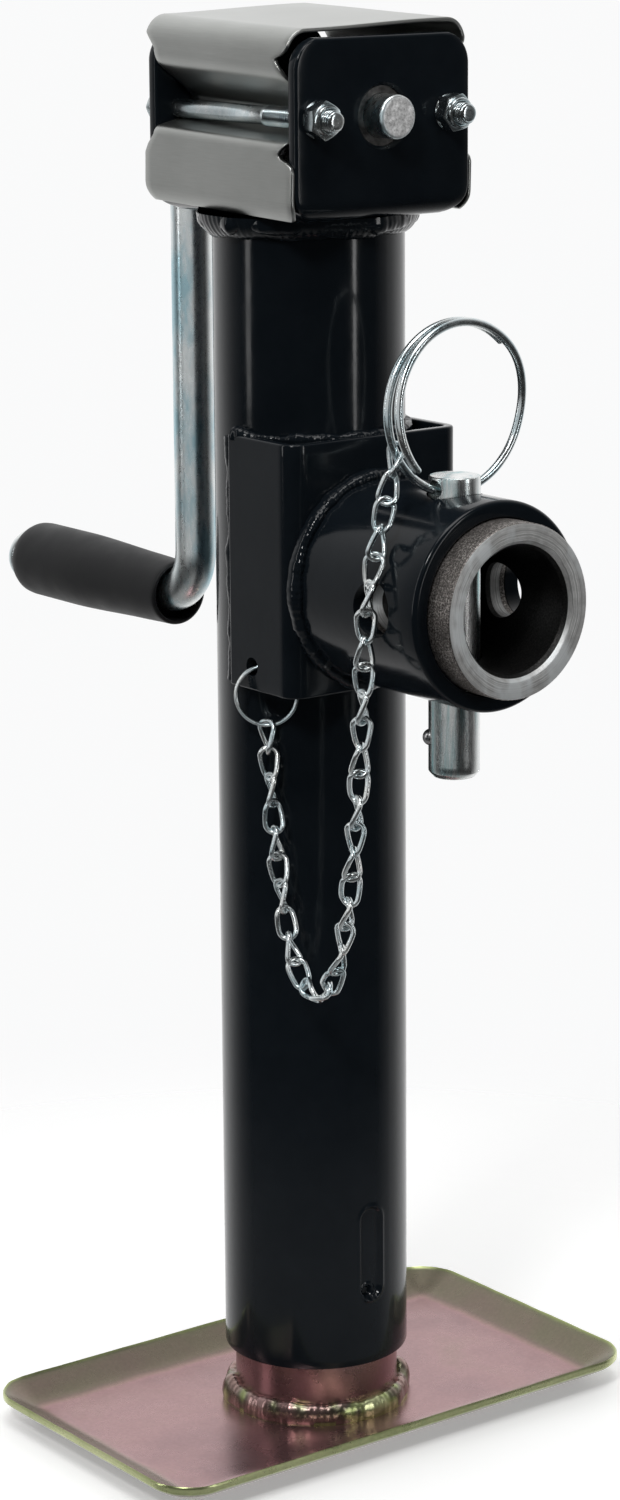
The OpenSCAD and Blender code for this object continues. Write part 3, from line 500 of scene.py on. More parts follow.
def turtle(start, heading, moves, step=1.0):
    """Points and left-hand normals of a flat path of ("line", length) and ("arc", radius, degrees) moves."""
    p, h = np.array(start, float), math.radians(heading)
    points, normals = [p.copy()], [np.array([-math.sin(h), math.cos(h)])]
    for move in moves:
        length = move[1] if move[0] == "line" else move[1] * math.radians(abs(move[2]))
        count = max(1, math.ceil(length / step))
        if move[0] == "arc":
            count = max(count, math.ceil(abs(move[2]) / 9))
            side = 1.0 if move[2] > 0 else -1.0
            centre = p + side * move[1] * np.array([-math.sin(h), math.cos(h)])
            for k in range(1, count + 1):
                angle = h + math.radians(move[2]) * k / count
                points.append(centre - side * move[1] * np.array([-math.sin(angle), math.cos(angle)]))
                normals.append(np.array([-math.sin(angle), math.cos(angle)]))
            h += math.radians(move[2])
            p = points[-1].copy()
        else:
            forward = np.array([math.cos(h), math.sin(h)])
            for k in range(1, count + 1):
                points.append(p + forward * length * k / count)
                normals.append(np.array([-math.sin(h), math.cos(h)]))
            p = points[-1].copy()
    return np.array(points), np.array(normals)


def bent_sheet(points, normals, span, thick, edge, place_at, columns=10):
    """A bent sheet with rounded edges, along a path that lies in a plane.

    span(point) gives the sheet's two edges across the path; place_at(across, path point) turns both into a
    point of the frame."""
    h = thick / 2
    corner = (-90, -60, -30, 0)
    tangents = np.gradient(points, axis=0)
    tangents /= np.linalg.norm(tangents, axis=1)[:, None]
    rows = []
    for a in (90, 60, 30):
        a = math.radians(a)
        rows.append((points[0] + tangents[0] * edge * (1 - math.sin(a)), normals[0],
                     edge * (1 - math.cos(a))))
    inside = [k for k, p in enumerate(points)
              if edge < np.linalg.norm(p - points[0]) and edge < np.linalg.norm(p - points[-1])]
    rows.append((points[0] + tangents[0] * edge, normals[0], 0.0))
    rows += [(points[k], normals[k], 0.0) for k in inside]
    rows.append((points[-1] - tangents[-1] * edge, normals[-1], 0.0))
    for a in (30, 60, 90):
        a = math.radians(a)
        rows.append((points[-1] - tangents[-1] * edge * (1 - math.sin(a)), normals[-1],
                     edge * (1 - math.cos(a))))
    loops = []
    for p, n, inset in rows:
        e = max(edge - inset, 0.02)
        low, high = -h + inset, h - inset
        outline = []
        for u in np.linspace(0, 1, columns + 1):
            outline.append(("along", u, low, e))
        for deg in corner:
            outline.append(("high", deg, low + e, e))
        for deg in corner:
            outline.append(("high", deg + 90, high - e, e))
        for u in np.linspace(1, 0, columns + 1):
            outline.append(("along", u, high, e))
        for deg in corner:
            outline.append(("low", deg + 180, high - e, e))
        for deg in corner:
            outline.append(("low", deg + 270, low + e, e))
        loop = []
        for kind, value, v, e in outline:
            if kind == "along":
                lo, hi = span(p + n * v)
                loop.append(place_at(lo + inset + e + value * (hi - lo - 2 * inset - 2 * e), p + n * v))
            else:
                d = math.radians(value)
                vv = v + e * math.sin(d)
                lo, hi = span(p + n * vv)
                u = hi - inset - e + e * math.cos(d) if kind == "high" else lo + inset + e + e * math.cos(d)
                loop.append(place_at(u, p + n * vv))
        loops.append(loop)
    return grid(loops, caps=(True, True))


def smooth(t):
    """Smooth step from 0 to 1."""
    t = min(1.0, max(0.0, t))
    return t * t * (3 - 2 * t)


def wobble(p, wavelength, shift=0.0):
    """Smooth noise from -1 to 1."""
    x, y, z = p[0] / wavelength + shift, p[1] / wavelength - shift, p[2] / wavelength + 2 * shift
    return noise.noise(Vector((x, y, z)))


def bead(corner_at, stations, leg_out, leg_up, ripple, lump, shift, arc=9, closed=True, sink=0.35,
         fullness=0.2):
    """A weld bead in the corner of two walls.

    corner_at(s) gives the corner, the outward direction and the upward direction at length s."""
    loops = []
    for s in stations:
        c, out, up = corner_at(s)
        size = 1 + lump * wobble(c, 9.0, shift) + 0.4 * lump * wobble(c, 4.2, shift + 5)
        size += ripple * math.sin(s * 2 * math.pi / 1.9 + 1.3 * wobble(c, 4, shift + 9))
        loop = [c - sink * out - sink * up]
        for k in range(arc):
            a = math.pi / 2 * k / (arc - 1)
            bulge = 1 + fullness * math.sin(2 * a)
            grain = 1 + 0.1 * lump * wobble(c + (out + up) * 0.7 * k, 1.7, shift)
            d = out * (leg_out * size * math.cos(a)) + up * (leg_up * size * math.sin(a))
            point = c + d * bulge * grain
            if k == 0:
                point = point - sink * up
            if k == arc - 1:
                point = point - sink * out
            loop.append(point)
        loops.append(loop)
    return grid(loops, wrap_rows=closed, caps=(not closed, not closed))


def around(radius, z, up, start=0.0, pace=None):
    """For bead: a corner that runs round the Z axis. Its length is measured at the radius pace."""

    def corner_at(s):
        a = start + s / (pace or radius)
        out = np.array([math.cos(a), math.sin(a), 0.0])
        return out * radius + (0, 0, z), out, np.array([0.0, 0.0, up])

    return corner_at


# ---------------------------------------------------------------- lift tubes and foot

OUT_LOW, OUT_HIGH = box("outer_tube")
TUBE_R = (OUT_HIGH[0] - OUT_LOW[0]) / 2
TUBE_BORE = TUBE_R - 2.85
INNER_LOW, INNER_HIGH = box("inner_tube")
INNER_R = (INNER_HIGH[0] - INNER_LOW[0]) / 2
FOOT_PLATE = 2.6


def key_depth(x, z):
    """How far the pressed key and its torn lower end lie below the tube's surface."""
    low, high, half = 46.0, 67.9, 4.3
    away = math.hypot(x, z - min(high, max(low, z))) - half
    depth = 1.25 * smooth(-away / 1.3 + 0.15) + 0.5 * smooth((56 - z) / 16) * smooth(-away / 2.2)
    depth -= 0.22 * math.exp(-((away / 0.75) ** 2))
    pit = math.hypot(x + 0.8, z - 44.3)
    depth += 1.5 * smooth((2.1 - pit) / 1.4) - 0.35 * math.exp(-(((pit - 2.5) / 0.5) ** 2))
    return depth


def make_outer_tube():
    """The outer tube with its pressed key; the mesh is fine only round the key."""
    fine = np.radians(np.arange(-16, 16.01, 0.5) - 90)
    coarse = np.radians(np.linspace(16, 344, 84)[1:-1] - 90)
    angles = np.concatenate([fine, coarse])
    z_values = np.concatenate([np.arange(38, 76, 0.32), np.linspace(76, OUT_HIGH[2], 30)])
    z_values = np.concatenate([np.linspace(OUT_LOW[2] + 0.7, 37.5, 8), z_values])
    rows = []
    for r, z in ((TUBE_BORE, OUT_HIGH[2]), (TUBE_BORE, OUT_LOW[2] + 0.6), (TUBE_BORE + 0.5, OUT_LOW[2]),
                 (TUBE_R - 0.6, OUT_LOW[2]), (TUBE_R - 0.18, OUT_LOW[2] + 0.2)):
        rows.append([(r * math.cos(a), r * math.sin(a), z) for a in angles])
    for z in z_values:
        row = []
        for k, a in enumerate(angles):
            r = TUBE_R
            if k < len(fine) and 37 < z < 77:
                r -= key_depth(TUBE_R * (a + math.pi / 2), z)
            row.append((r * math.cos(a), r * math.sin(a), z))
        rows.append(row)
    rows.append([(TUBE_BORE * math.cos(a), TUBE_BORE * math.sin(a), OUT_HIGH[2]) for a in angles])
    piece("outer_tube_skin", Shape().add(grid(rows)), COAT, "frame", ["outer_tube"])


def make_foot():
    """The pressed foot: a flat sole inside a raised border."""
    low, high = box("foot_plate")
    centre_y = (low[1] + high[1]) / 2
    half_x, half_y, corner = (high[0] - low[0]) / 2, (high[1] - low[1]) / 2, 14.0
    thick, rise, border = FOOT_PLATE, 6.6, 11.0

    def loop(d, z, jitter=0.0):
        """The foot's outline, drawn in by d, at height z."""
        r = max(corner - d, 1.2)
        hx, hy = half_x - d, half_y - d
        stops = ((hx, hy - r), (-(hx - r), hy), (-hx, -(hy - r)), (hx - r, -hy))
        pts = []
        for q, (sx, sy) in enumerate(((1, -1), (1, 1), (-1, 1), (-1, -1))):
            cx, cy = sx * (hx - r), sy * (hy - r)
            for k in range(13):
                a = math.radians(-90 + q * 90 + 90 * k / 12)
                pts.append((cx + r * math.cos(a), cy + r * math.sin(a)))
            end, stop = pts[-1], stops[q]
            count = 24 if q in (1, 3) else 14
            for k in range(1, count):
                t = k / count
                pts.append((end[0] + (stop[0] - end[0]) * t, end[1] + (stop[1] - end[1]) * t))
        return [(x, y + centre_y, z + jitter * wobble((x, y, z * 3), 1.6, 2.0)) for x, y in pts]

    def dish(d):
        """Height of the pressing's underside at d in from the edge."""
        return rise * 1.25 * math.log1p(math.exp((border - d) / 1.25)) / border

    sag = dish(0) - rise
    rows, zones = [], []
    for d in (60, 50, 40, 28, 20, 16, 14, 13, 12, 11, 10, 9, 8, 6.5, 5, 3, 1.4):
        if d > half_y - 2:
            continue
        rows.append(loop(d, max(0.0, dish(d) - sag * smooth(1 - d / 6))))
        zones.append(0.34 * smooth((14 - d) / 5))
    # the rim rows get high zones: the bright lime there is painted edge highlight over the film's own colour
    for d, z, zone in ((0.5, rise + 0.02, 0.62), (0.05, rise + 0.45, 0.72), (0.0, rise + 1.0, 0.75),
                       (0.0, rise + 1.7, 0.75), (0.05, rise + 2.2, 0.72), (0.35, rise + thick - 0.03, 0.68)):
        rows.append(loop(d, z, 0.16))
        zones.append(zone)
    for d in (0.9, 1.6, 3, 5, 6.5, 8, 9, 10, 11, 12, 13, 14, 16, 20, 28, 40, 50):
        rows.append(loop(d, thick + dish(d) - sag * smooth(1 - d / 6)))
        zones.append(0.34 * smooth((14 - d) / 5) + 0.16 * smooth((2.2 - d) / 1.6))
    cols = len(rows[0])
    made = grid(rows, caps=(True, True))
    piece("foot_pressing", Shape().add(made, np.repeat(zones, cols)), YELLOW, "drop_leg", ["foot_plate"],
          sharp=50)


def make_foot_bead():
    """The weld round the tube's end, on the foot."""
    length = 2 * math.pi * INNER_R
    stations = np.arange(0, length, length / 420)
    made = bead(around(INNER_R, FOOT_PLATE, 1.0), stations, 3.7, 6.2, 0.007, 0.34, 3.1, arc=12)
    verts = np.asarray(made[0])
    angle = np.degrees(np.arctan2(verts[:, 1], verts[:, 0]))
    # a bright lime patch on the bead's front is painted highlight; random lime lumps elsewhere, mauve on the
    # rest
    patch = np.exp(-(((angle + 86) / 17) ** 2))
    spread = np.array([wobble(v, 5.0, 4.0) for v in verts])
    zone = np.clip(0.1 + 0.62 * patch + 0.75 * np.maximum(spread, 0), 0, 0.8)
    zone = np.where(verts[:, 2] < FOOT_PLATE + 0.9, 0.6, zone)
    piece("foot_weld_bead", Shape().add(made, zone), YELLOW, "drop_leg", ["foot_weld"], sharp=60)


make_outer_tube()
make_foot()
make_foot_bead()


# ---------------------------------------------------------------- gear housing and cover

HOUSE_LOW, HOUSE_HIGH = box("gear_housing")
HOUSE_X, HOUSE_Y = HOUSE_HIGH[0], HOUSE_HIGH[1]
PLATE, HOUSE_R = 4.0, 9.0
BOLT_X, HEX_ACROSS = 24.0, 10.0
BOLT_LOW, BOLT_HIGH = box("cover_bolts")
BAR_LOW, BAR_HIGH = box("crank_bar")
AXIS_Z = float((box("front_bushing")[0][2] + box("front_bushing")[1][2]) / 2)
BUSH_R = float((box("front_bushing")[1][0] - box("front_bushing")[0][0]) / 2)


def make_housing():
    """The head: one plate bent into a U, open at its sides."""
    z_low, z_high = HOUSE_LOW[2], HOUSE_HIGH[2]

    def span(p):
        z = p[1]
        x = HOUSE_X
        for inside in (z_high - z, z - z_low):
            if inside < HOUSE_R:
                x = HOUSE_X - HOUSE_R + math.sqrt(max(0.0, HOUSE_R**2 - (HOUSE_R - max(inside, 0.35)) ** 2))
        return -x, x

    bend = 6.0 - PLATE / 2
    wall = z_high - z_low - 6.0
    floor = 2 * HOUSE_Y - 12.0
    moves = [("line", wall), ("arc", bend, 90), ("line", floor), ("arc", bend, 90), ("line", wall)]
    points, normals = turtle((-HOUSE_Y + PLATE / 2, z_high), -90, moves, 1.0)
    made = bent_sheet(points, normals, span, PLATE, 0.9, lambda u, p: (u, p[0], p[1]), 16)
    shell = piece("gear_housing_shell", Shape().add(made), COAT, None)
    hole = rod(BUSH_R + 0.05, "y", (0, 0, AXIS_Z), -HOUSE_Y - 3, HOUSE_Y + 3, 72)
    funnel = turned([(0.0, -HOUSE_Y - 0.4), (BUSH_R + 1.35, -HOUSE_Y - 0.4), (BUSH_R - 1, -HOUSE_Y + 1.95),
                     (0.0, -HOUSE_Y + 1.95)], "y", (0, 0, AXIS_Z), 72)
    cut(shell, [hole, Shape().add(funnel)])
    finish(shell, COAT, "frame", ["gear_housing"], 32)


def make_cover():
    """Clip-on cover: wing, shelf, groove wall, roll and top, mirrored about the middle."""
    half = box("gear_cover")[1][0]
    thick = 1.2
    shift, tilt = 1.8, math.radians(1.6)
    groove_low, groove_high, top, wall_x = 399.0, 414.0, 430.6, 19.4
    curl_z = HOUSE_LOW[2] + HOUSE_R - 1
    corner = (top - groove_high) / 2 - 1
    mid = thick / 2
    curl = HOUSE_R + 0.1 + mid
    start = (-half + HOUSE_R + 0.1 + thick + curl * math.cos(math.radians(218)),
             curl_z + curl * math.sin(math.radians(218)))
    high_slope, low_slope = math.radians(38), math.radians(13)
    roll = np.array([-half + corner, groove_high + corner])
    fold = np.array([-half + 3, groove_low - 3])
    ceiling = np.array([math.sin(high_slope), math.cos(high_slope)])
    floor = np.array([-math.sin(low_slope), math.cos(low_slope)])
    wall = -wall_x - 1
    ceiling_z = roll[1] + (ceiling[0] * (roll[0] - wall) - corner - 1) / ceiling[1]
    floor_z = fold[1] + (4 - floor[0] * (wall - fold[0])) / floor[1]
    floor_length = np.linalg.norm(np.array([wall, floor_z]) - (1 + mid) * floor - fold - (3 - mid) * floor)
    ceiling_to = np.array([wall, ceiling_z]) + (1 + mid) * ceiling
    ceiling_length = np.linalg.norm(ceiling_to - roll + (corner - mid) * ceiling)
    moves = [
        ("arc", curl, -38),
        ("line", fold[1] - curl_z),
        ("arc", 3 - mid, -77),
        ("line", floor_length),
        ("arc", 1 + mid, 77),
        ("line", ceiling_z - floor_z),
        ("arc", 1 + mid, 52),
        ("line", ceiling_length),
        ("arc", corner - mid, -52),
        ("line", top - corner - roll[1]),
        ("arc", corner - mid, -90),
        ("line", half - corner),
    ]
    points, normals = turtle(start, 128, moves, 0.45)
    points = np.concatenate([points, points[-2::-1] * (-1, 1)])
    normals = np.concatenate([normals, normals[-2::-1] * (-1, 1)])

    # the sheet's front and rear edges: (height, distance from the middle)
    front = [(390.6, 38.0), (392.2, 37.3), (393.4, 35.2), (394.2, 32.4), (395.0, 31.2), (396.0, 31.5),
             (397.4, 32.7), (398.8, 33.3), (413.4, 33.3), (416.5, 32.6), (419.0, 31.3), (421.0, 29.9),
             (421.9, 29.3), (422.5, 30.2), (423.3, 32.2), (424.4, 33.7), (425.8, 34.4)]
    rear = [(390.6, 34.4), (393.2, 33.0), (396.2, 30.2), (399.0, 30.0), (421.2, 30.0), (423.2, 31.8),
            (425.6, 34.4)]

    def edge(z, outline):
        foot, r = HOUSE_LOW[2] + 0.6, 6.0
        if z < foot + r:
            return outline[0][1] - r + math.sqrt(max(0.0, r * r - (r - max(z - foot, 0.0)) ** 2))
        return float(np.interp(z, [k[0] for k in outline], [k[1] for k in outline]))

    def span(p):
        return -edge(p[1], front), edge(p[1], rear)

    def place_at(u, p):
        y, z = u, p[1] - AXIS_Z
        dent = 0.12 * wobble((p[0], u, p[1]), 24, 1.0)
        warp = 1.5 * smooth((p[0] + 28) / 52) * smooth((p[1] - 423) / 7)
        return (p[0] + dent * 0.3, y * math.cos(tilt) - z * math.sin(tilt) + shift,
                AXIS_Z + y * math.sin(tilt) + z * math.cos(tilt) + dent + warp)

    made = bent_sheet(points, normals, span, thick, 0.35, place_at, 26)
    piece("gear_cover_sheet", Shape().add(made), COVER, "frame", ["gear_cover"], 50)


def make_bolts():
    """Two long bolts with rolled threads at the front and hex heads at the back."""
    shank, pitch = 2.75, 1.0
    front, back = float(BOLT_LOW[1]), HOUSE_Y + 0.6
    thread_end = -13.0
    shape = Shape()
    sides = 28
    a = np.linspace(0, 2 * math.pi, sides, endpoint=False)
    for x in (-BOLT_X, BOLT_X):
        rows = []
        for r, y in ((0.0, front), (1.2, front), (2.15, front), (2.35, front + 0.1)):
            rows.append([(r, y)] * sides)
        ys = np.arange(front + 0.3, thread_end, pitch / 9)
        for y in ys:
            entry = smooth((y - front) / 0.9)
            run_out = smooth((thread_end - y) / 2.0)
            row = []
            for t in a:
                wave = 0.5 + 0.5 * math.cos(2 * math.pi * (y / pitch) - t)
                r = (2.5 + 0.58 * entry) - 0.72 * entry * run_out * wave**1.2
                row.append((r, y))
            rows.append(row)
        for r, y in ((shank, thread_end + 0.4), (shank, 5.0), (shank, back)):
            rows.append([(r, y)] * sides)
        pts = [[(x + r * math.cos(t), y, AXIS_Z + r * math.sin(t)) for (r, y),
                t in zip(row, a)] for row in rows]
        shape.add(grid(pts, caps=(False, True)))
        # the head stands on a thin flange
        shape.add(hex_prism(x, back - 0.05, float(BOLT_HIGH[1]), HEX_ACROSS))
        shape.add(turned([(3.0, HOUSE_Y + 0.05), (5.5, HOUSE_Y + 0.05), (5.6, HOUSE_Y + 0.3),
                          (5.5, HOUSE_Y + 0.6),
                          (3.0, HOUSE_Y + 0.6)], "y", (x, 0, AXIS_Z), 48))
    piece("cover_bolt_pair", shape, ZINC_WIRE, "frame", ["cover_bolts"], 45)


def hex_prism(x, near, far, across, turn=0.0):
    """A hexagon from near to far along Y with chamfered corners on its far face."""
    count = 72
    direction = 1.0 if far > near else -1.0
    apothem = across / 2

    def ring(shrink, y_of):
        row = []
        for k in range(count):
            t = 2 * math.pi * k / count
            r = apothem / math.cos((t % (math.pi / 3)) - math.pi / 6)
            r = min(r, apothem * 1.13) * shrink
            row.append((x + r * math.cos(t + turn), y_of(r), AXIS_Z + r * math.sin(t + turn)))
        return row

    def chamfered(r):
        return far - direction * (0.12 + 0.62 * max(0.0, r - apothem * 0.99))

    rows = [ring(0.3, lambda r: near), ring(0.985, lambda r: near),
            ring(1.0, lambda r: near + direction * 0.1),
            ring(1.0, chamfered)]
    flat = []
    for k in range(count):
        t = 2 * math.pi * k / count
        r = apothem * 0.955
        flat.append((x + r * math.cos(t + turn), far, AXIS_Z + r * math.sin(t + turn)))
    rows.append(flat)
    rows.append([(x + 0.55 * (v[0] - x), far, AXIS_Z + 0.55 * (v[2] - AXIS_Z)) for v in flat])
    return grid(rows, caps=(True, True))


def make_nuts():
    """Two nuts, each with a washer face and a nylon ring."""
    shape = Shape()
    base = -HOUSE_Y - 0.1
    for x, turn in ((-BOLT_X, 0.5), (BOLT_X, 0.2)):
        shape.add(hex_prism(x, base, base - 4.5, HEX_ACROSS, turn))
        shape.add(turned([(5.0, base), (5.35, base - 0.12), (5.2, base - 0.45), (4.6, base - 0.6)], "y",
                         (x, 0, AXIS_Z), 48))
        ring = [(4.55, -4.4), (4.5, -5.2), (4.2, -5.75), (3.75, -5.95), (3.35, -5.75), (3.2, -5.2),
                (3.15, -4.3)]
        shape.add(turned([(r, base + y) for r, y in ring], "y", (x, 0, AXIS_Z), 48, closed=True))
    piece("cover_nut_pair", shape, ZINC_WIRE, "frame", ["cover_nuts"], 34)


def make_housing_bead():
    """The weld ring under the head: a flat fillet with a rougher pass on it."""
    length = 2 * math.pi * TUBE_R
    stations = np.arange(0, length, length / 400)
    fillet = around(TUBE_R, HOUSE_LOW[2], -1.0)
    second = around(TUBE_R + 1.0, HOUSE_LOW[2], -1.0, pace=TUBE_R)
    shape = Shape().add(bead(fillet, stations, 4.5, 6.0, 0.012, 0.2, 7.7, fullness=-0.1))
    shape.add(bead(second, stations, 2.9, 3.4, 0.012, 0.5, 21.4))
    piece("housing_weld_bead", shape, COAT, "frame", ["housing_weld"], 60)


make_housing()
make_cover()
make_bolts()
make_nuts()
make_housing_bead()


# ---------------------------------------------------------------- crank

ARM_LOW_Z = float(box("grip_cap")[0][2] + box("grip_cap")[1][2]) / 2
BAR_R = 6.35


def make_crank():
    """The bent bar with a rough sawn and hammered front end."""
    front, back = float(BAR_LOW[1]), float(BAR_HIGH[1])
    bend, arm, sides = 15.0, 59.7, 56
    moves = [("line", arm - bend - front - 0.9), ("arc", bend, -90), ("line", AXIS_Z - ARM_LOW_Z - 2 * bend),
             ("arc", bend, 90), ("line", back - arm - bend)]
    path, _ = turtle((front + 0.9, AXIS_Z), 0, moves, 2.0)
    centres = np.stack([np.zeros(len(path)), path[:, 0], path[:, 1]], 1)
    shape = Shape()
    shape.add(sweep(centres, BAR_R, sides, caps=False))
    rows = []
    for r, y in ((BAR_R, 0.9), (BAR_R - 0.12, 0.45), (BAR_R - 0.5, 0.12), (BAR_R - 0.95, 0.0), (5.0, 0.02),
                 (4.3, 0.03), (3.5, 0.02), (2.6, 0.02), (1.7, 0.0), (0.8, 0.0), (0.0, 0.0)):
        row = []
        for k in range(sides):
            t = 2 * math.pi * k / sides
            p = (r * math.cos(t), front + y, AXIS_Z + r * math.sin(t))
            rough = 0.24 * wobble(p, 1.9, 3.0) + 0.12 * wobble(p, 0.8, 6.0) if r < BAR_R else 0.0
            row.append((p[0], p[1] + rough * (1.0 if r < 5.5 else 0.4), p[2]))
        rows.append(row)
    shape.add(grid(rows), np.repeat([0.0, 0.0, 0.3, 0.8] + [1.0] * 7, sides))
    end = centres[-1]
    shape.add(turned([(BAR_R, end[1]), (0.0, end[1])], "y", (0, 0, ARM_LOW_Z), sides))
    piece("crank_handle_bar", shape, ZINC, "crank", ["crank_bar"], 50)


def make_grip():
    """The rubber sleeve: a hollow mouth, a slight swell and a round tail."""
    low, high = box("grip")
    start, end = float(low[1]), float(high[1])
    near, far, bore, tail = 10.2, 12.0, 6.42, 5.55
    profile = [(bore, start + 6.5), (8.8, start + 6.4), (8.85, start + 0.6), (9.0, start + 0.15),
               (9.3, start),
               (9.75, start + 0.12), (10.05, start + 0.4), (near, start + 1.0)]
    for t in np.linspace(0.03, 1, 26):
        y = start + t * (end - 6.2 - start)
        r = near + 0.35 * smooth(t / 0.2) + (far - near - 0.35) * smooth((t - 0.1) / 0.62)
        profile.append((r, y))
    for a in np.radians((15, 30, 45, 60, 75, 90)):
        profile.append((far - tail + tail * math.cos(a), end - tail + tail * math.sin(a)))
    profile.append((bore, end - 0.2))
    sleeve = Shape().add(turned(profile, "y", (0, 0, ARM_LOW_Z), 96, closed=True))
    piece("grip_sleeve", sleeve, RUBBER, "grip", ["grip"])


def make_cap():
    """The domed push cap on the bar's end."""
    low, high = box("grip_cap")
    y0, y1 = float(low[1]), float(high[1])
    rim, side = 8.7, 2.2
    profile = [(6.5, y0 + 0.02), (rim - 0.3, y0), (rim, y0 + 0.3)]
    for t in np.linspace(0.0, 1, 14):
        a = t * math.pi / 2
        r = rim * math.cos(a) ** 0.9 if t < 1 else 0.0
        profile.append((r, y0 + side + (y1 - y0 - side - 0.02) * math.sin(a)))
    cap = Shape().add(turned(profile, "y", (0, 0, ARM_LOW_Z), 64))
    piece("grip_end_cap", cap, ZINC_WIRE, "crank", ["grip_cap"], 50)


make_crank()
make_grip()
make_cap()


# ---------------------------------------------------------------- bracket, housing and pipe

BRACKET_LOW, BRACKET_HIGH = box("swivel_bracket")
SWIVEL_LOW, SWIVEL_HIGH = box("swivel_housing")
SWIVEL_R = (SWIVEL_HIGH[0] - SWIVEL_LOW[0]) / 2
PIN_LOW, PIN_HIGH = box("pull_pin")
PIN_Y = float(PIN_LOW[1] + PIN_HIGH[1]) / 2
PIN_R = float(PIN_HIGH[0] - PIN_LOW[0]) / 2
CROSS_R = 8.1
FRONT_FACE = float(SWIVEL_LOW[1])
WEB_FACE = float(BRACKET_LOW[1])
ANCHOR_HOLE = np.array([-30.1, -12.6, 243.4])


def cross_holes():
    """The pull pin's hole and the one across it, through the pipe and the housing round it."""
    return [rod(CROSS_R, "x", (0, PIN_Y, MOUNT_Z), -45, 45, 72),
            rod(CROSS_R, "z", (0, PIN_Y, 0), MOUNT_Z - 45, MOUNT_Z + 45, 72)]


def make_bracket():
    """The channel between tube and housing, with the chain's hole in its left flange."""
    thick, bend_out = 3.0, 5.5
    x, back = BRACKET_HIGH[0], BRACKET_HIGH[1]
    z0, z1 = BRACKET_LOW[2], BRACKET_HIGH[2]
    flange, bend = ("line", back - WEB_FACE - bend_out), ("arc", bend_out - thick / 2, 90)
    moves = [flange, bend, ("line", 2 * x - 2 * bend_out), bend, flange]
    points, normals = turtle((-x + thick / 2, back), -90, moves, 1.0)
    made = bent_sheet(points, normals, lambda p: (z0, z1), thick, 0.7, lambda u, p: (p[0], p[1], u), 24)
    plate = piece("swivel_bracket_channel", Shape().add(made), COAT, None)
    cut(plate, [rod(2.8, "x", (0, ANCHOR_HOLE[1], ANCHOR_HOLE[2]), -x - 3, -x + 6, 40)])
    finish(plate, COAT, "frame", ["swivel_bracket"], 32)


def make_swivel_housing():
    """The round housing that the pipe turns in; its long faces are split so that the holes cut cleanly."""
    bore = SWIVEL_R - 5.0
    profile = rounded([(bore, WEB_FACE), (SWIVEL_R, WEB_FACE), (SWIVEL_R, FRONT_FACE), (bore, FRONT_FACE)],
                      [0, 0, 1.3, 0.7], 5)
    outline = []
    for k in range(len(profile)):
        a, b = np.array(profile[k]), np.array(profile[(k + 1) % len(profile)])
        outline.append(a)
        if np.linalg.norm(b - a) > 8:
            outline += [a + (b - a) * t for t in np.linspace(0, 1, 9)[1:-1]]
    made = turned(outline, "y", (0, 0, MOUNT_Z), 128, closed=True)
    ring = piece("swivel_housing_ring", Shape().add(made), COAT, None)
    cut(ring, cross_holes())
    finish(ring, COAT, "frame", ["swivel_housing"], 32)


def make_pipe():
    """The mount pipe; its zone is 1 on the machined mouth, 2 in the bore, which the material paints dark as
    shade, and 0 outside.
    """
    low, high = PIPE_LOW, PIPE_HIGH
    r, bore = float(high[0]), 18.3
    back, mouth = float(high[1]), float(low[1])
    journal = r - 0.1
    profile = rounded([(bore, back), (journal, back), (journal, FRONT_FACE), (r, FRONT_FACE), (r, mouth),
                       (bore + 1.9, mouth), (bore, mouth + 2.4)], [0, 1.0, 0, 0, 0.5, 0.35, 0.8], 4)
    made = turned(profile, "y", (0, 0, MOUNT_Z), 128, closed=True)
    pipe = piece("mount_pipe_body", Shape().add(made), STEEL, None)
    cut(pipe, cross_holes())
    mesh = pipe.data
    zone = mesh.attributes.get("zone") or mesh.attributes.new("zone", "FLOAT", "POINT")
    values = []
    for v in mesh.vertices:
        reach = math.hypot(v.co.x / MM, v.co.z / MM - MOUNT_Z)
        on_face = v.co.y / MM < mouth + 0.3 and bore + 1.2 < reach < r - 0.25
        values.append(1.0 if on_face else 2.0 if reach < bore + 0.4 else 0.0)
    zone.data.foreach_set("value", values)
    finish(pipe, STEEL, "frame", ["mount_pipe"], 32)


def make_bracket_beads():
    """A bead down each flange, and a rough one that fills the gap over the bracket's top."""
    shape = Shape()
    z0, z1 = float(BRACKET_LOW[2]) + 1, float(BRACKET_HIGH[2]) - 1
    for side in (-1, 1):

        def corner_at(s, side=side):
            out = np.array([float(side), 0.0, 0.0])
            return np.array([side * (TUBE_R - 0.3), -1.5, z0 + s]), out, np.array([0.0, 1.0, 0.0])

        shape.add(bead(corner_at, np.arange(0, z1 - z0, 0.6), 2.6, 3.0, 0.015, 0.35, 11 + side, closed=False))
    rim = around(TUBE_R, float(BRACKET_HIGH[2]) - 1.2, 1.0, start=math.radians(186))
    length = TUBE_R * math.radians(168)
    shape.add(bead(rim, np.arange(0, length, 0.4), 2.5, 2.4, 0.03, 0.75, 15.2, closed=False))
    piece("bracket_weld_beads", shape, COAT, "frame", ["bracket_welds"], 60)


def make_swivel_bead():
    """The weld between the round housing and the bracket's face."""

    def corner_at(s):
        a = s / SWIVEL_R
        out = np.array([math.cos(a), 0.0, math.sin(a)])
        at = np.array([SWIVEL_R * math.cos(a), WEB_FACE, MOUNT_Z + SWIVEL_R * math.sin(a)])
        return at, out, np.array([0, -1.0, 0])

    length = 2 * math.pi * SWIVEL_R
    made = bead(corner_at, np.arange(0, length, length / 440), 2.3, 3.3, 0.018, 0.42, 33.3)
    piece("swivel_weld_bead", Shape().add(made), COAT, "frame", ["swivel_weld"], 60)


make_bracket()
make_swivel_housing()
make_pipe()
make_bracket_beads()
make_swivel_bead()


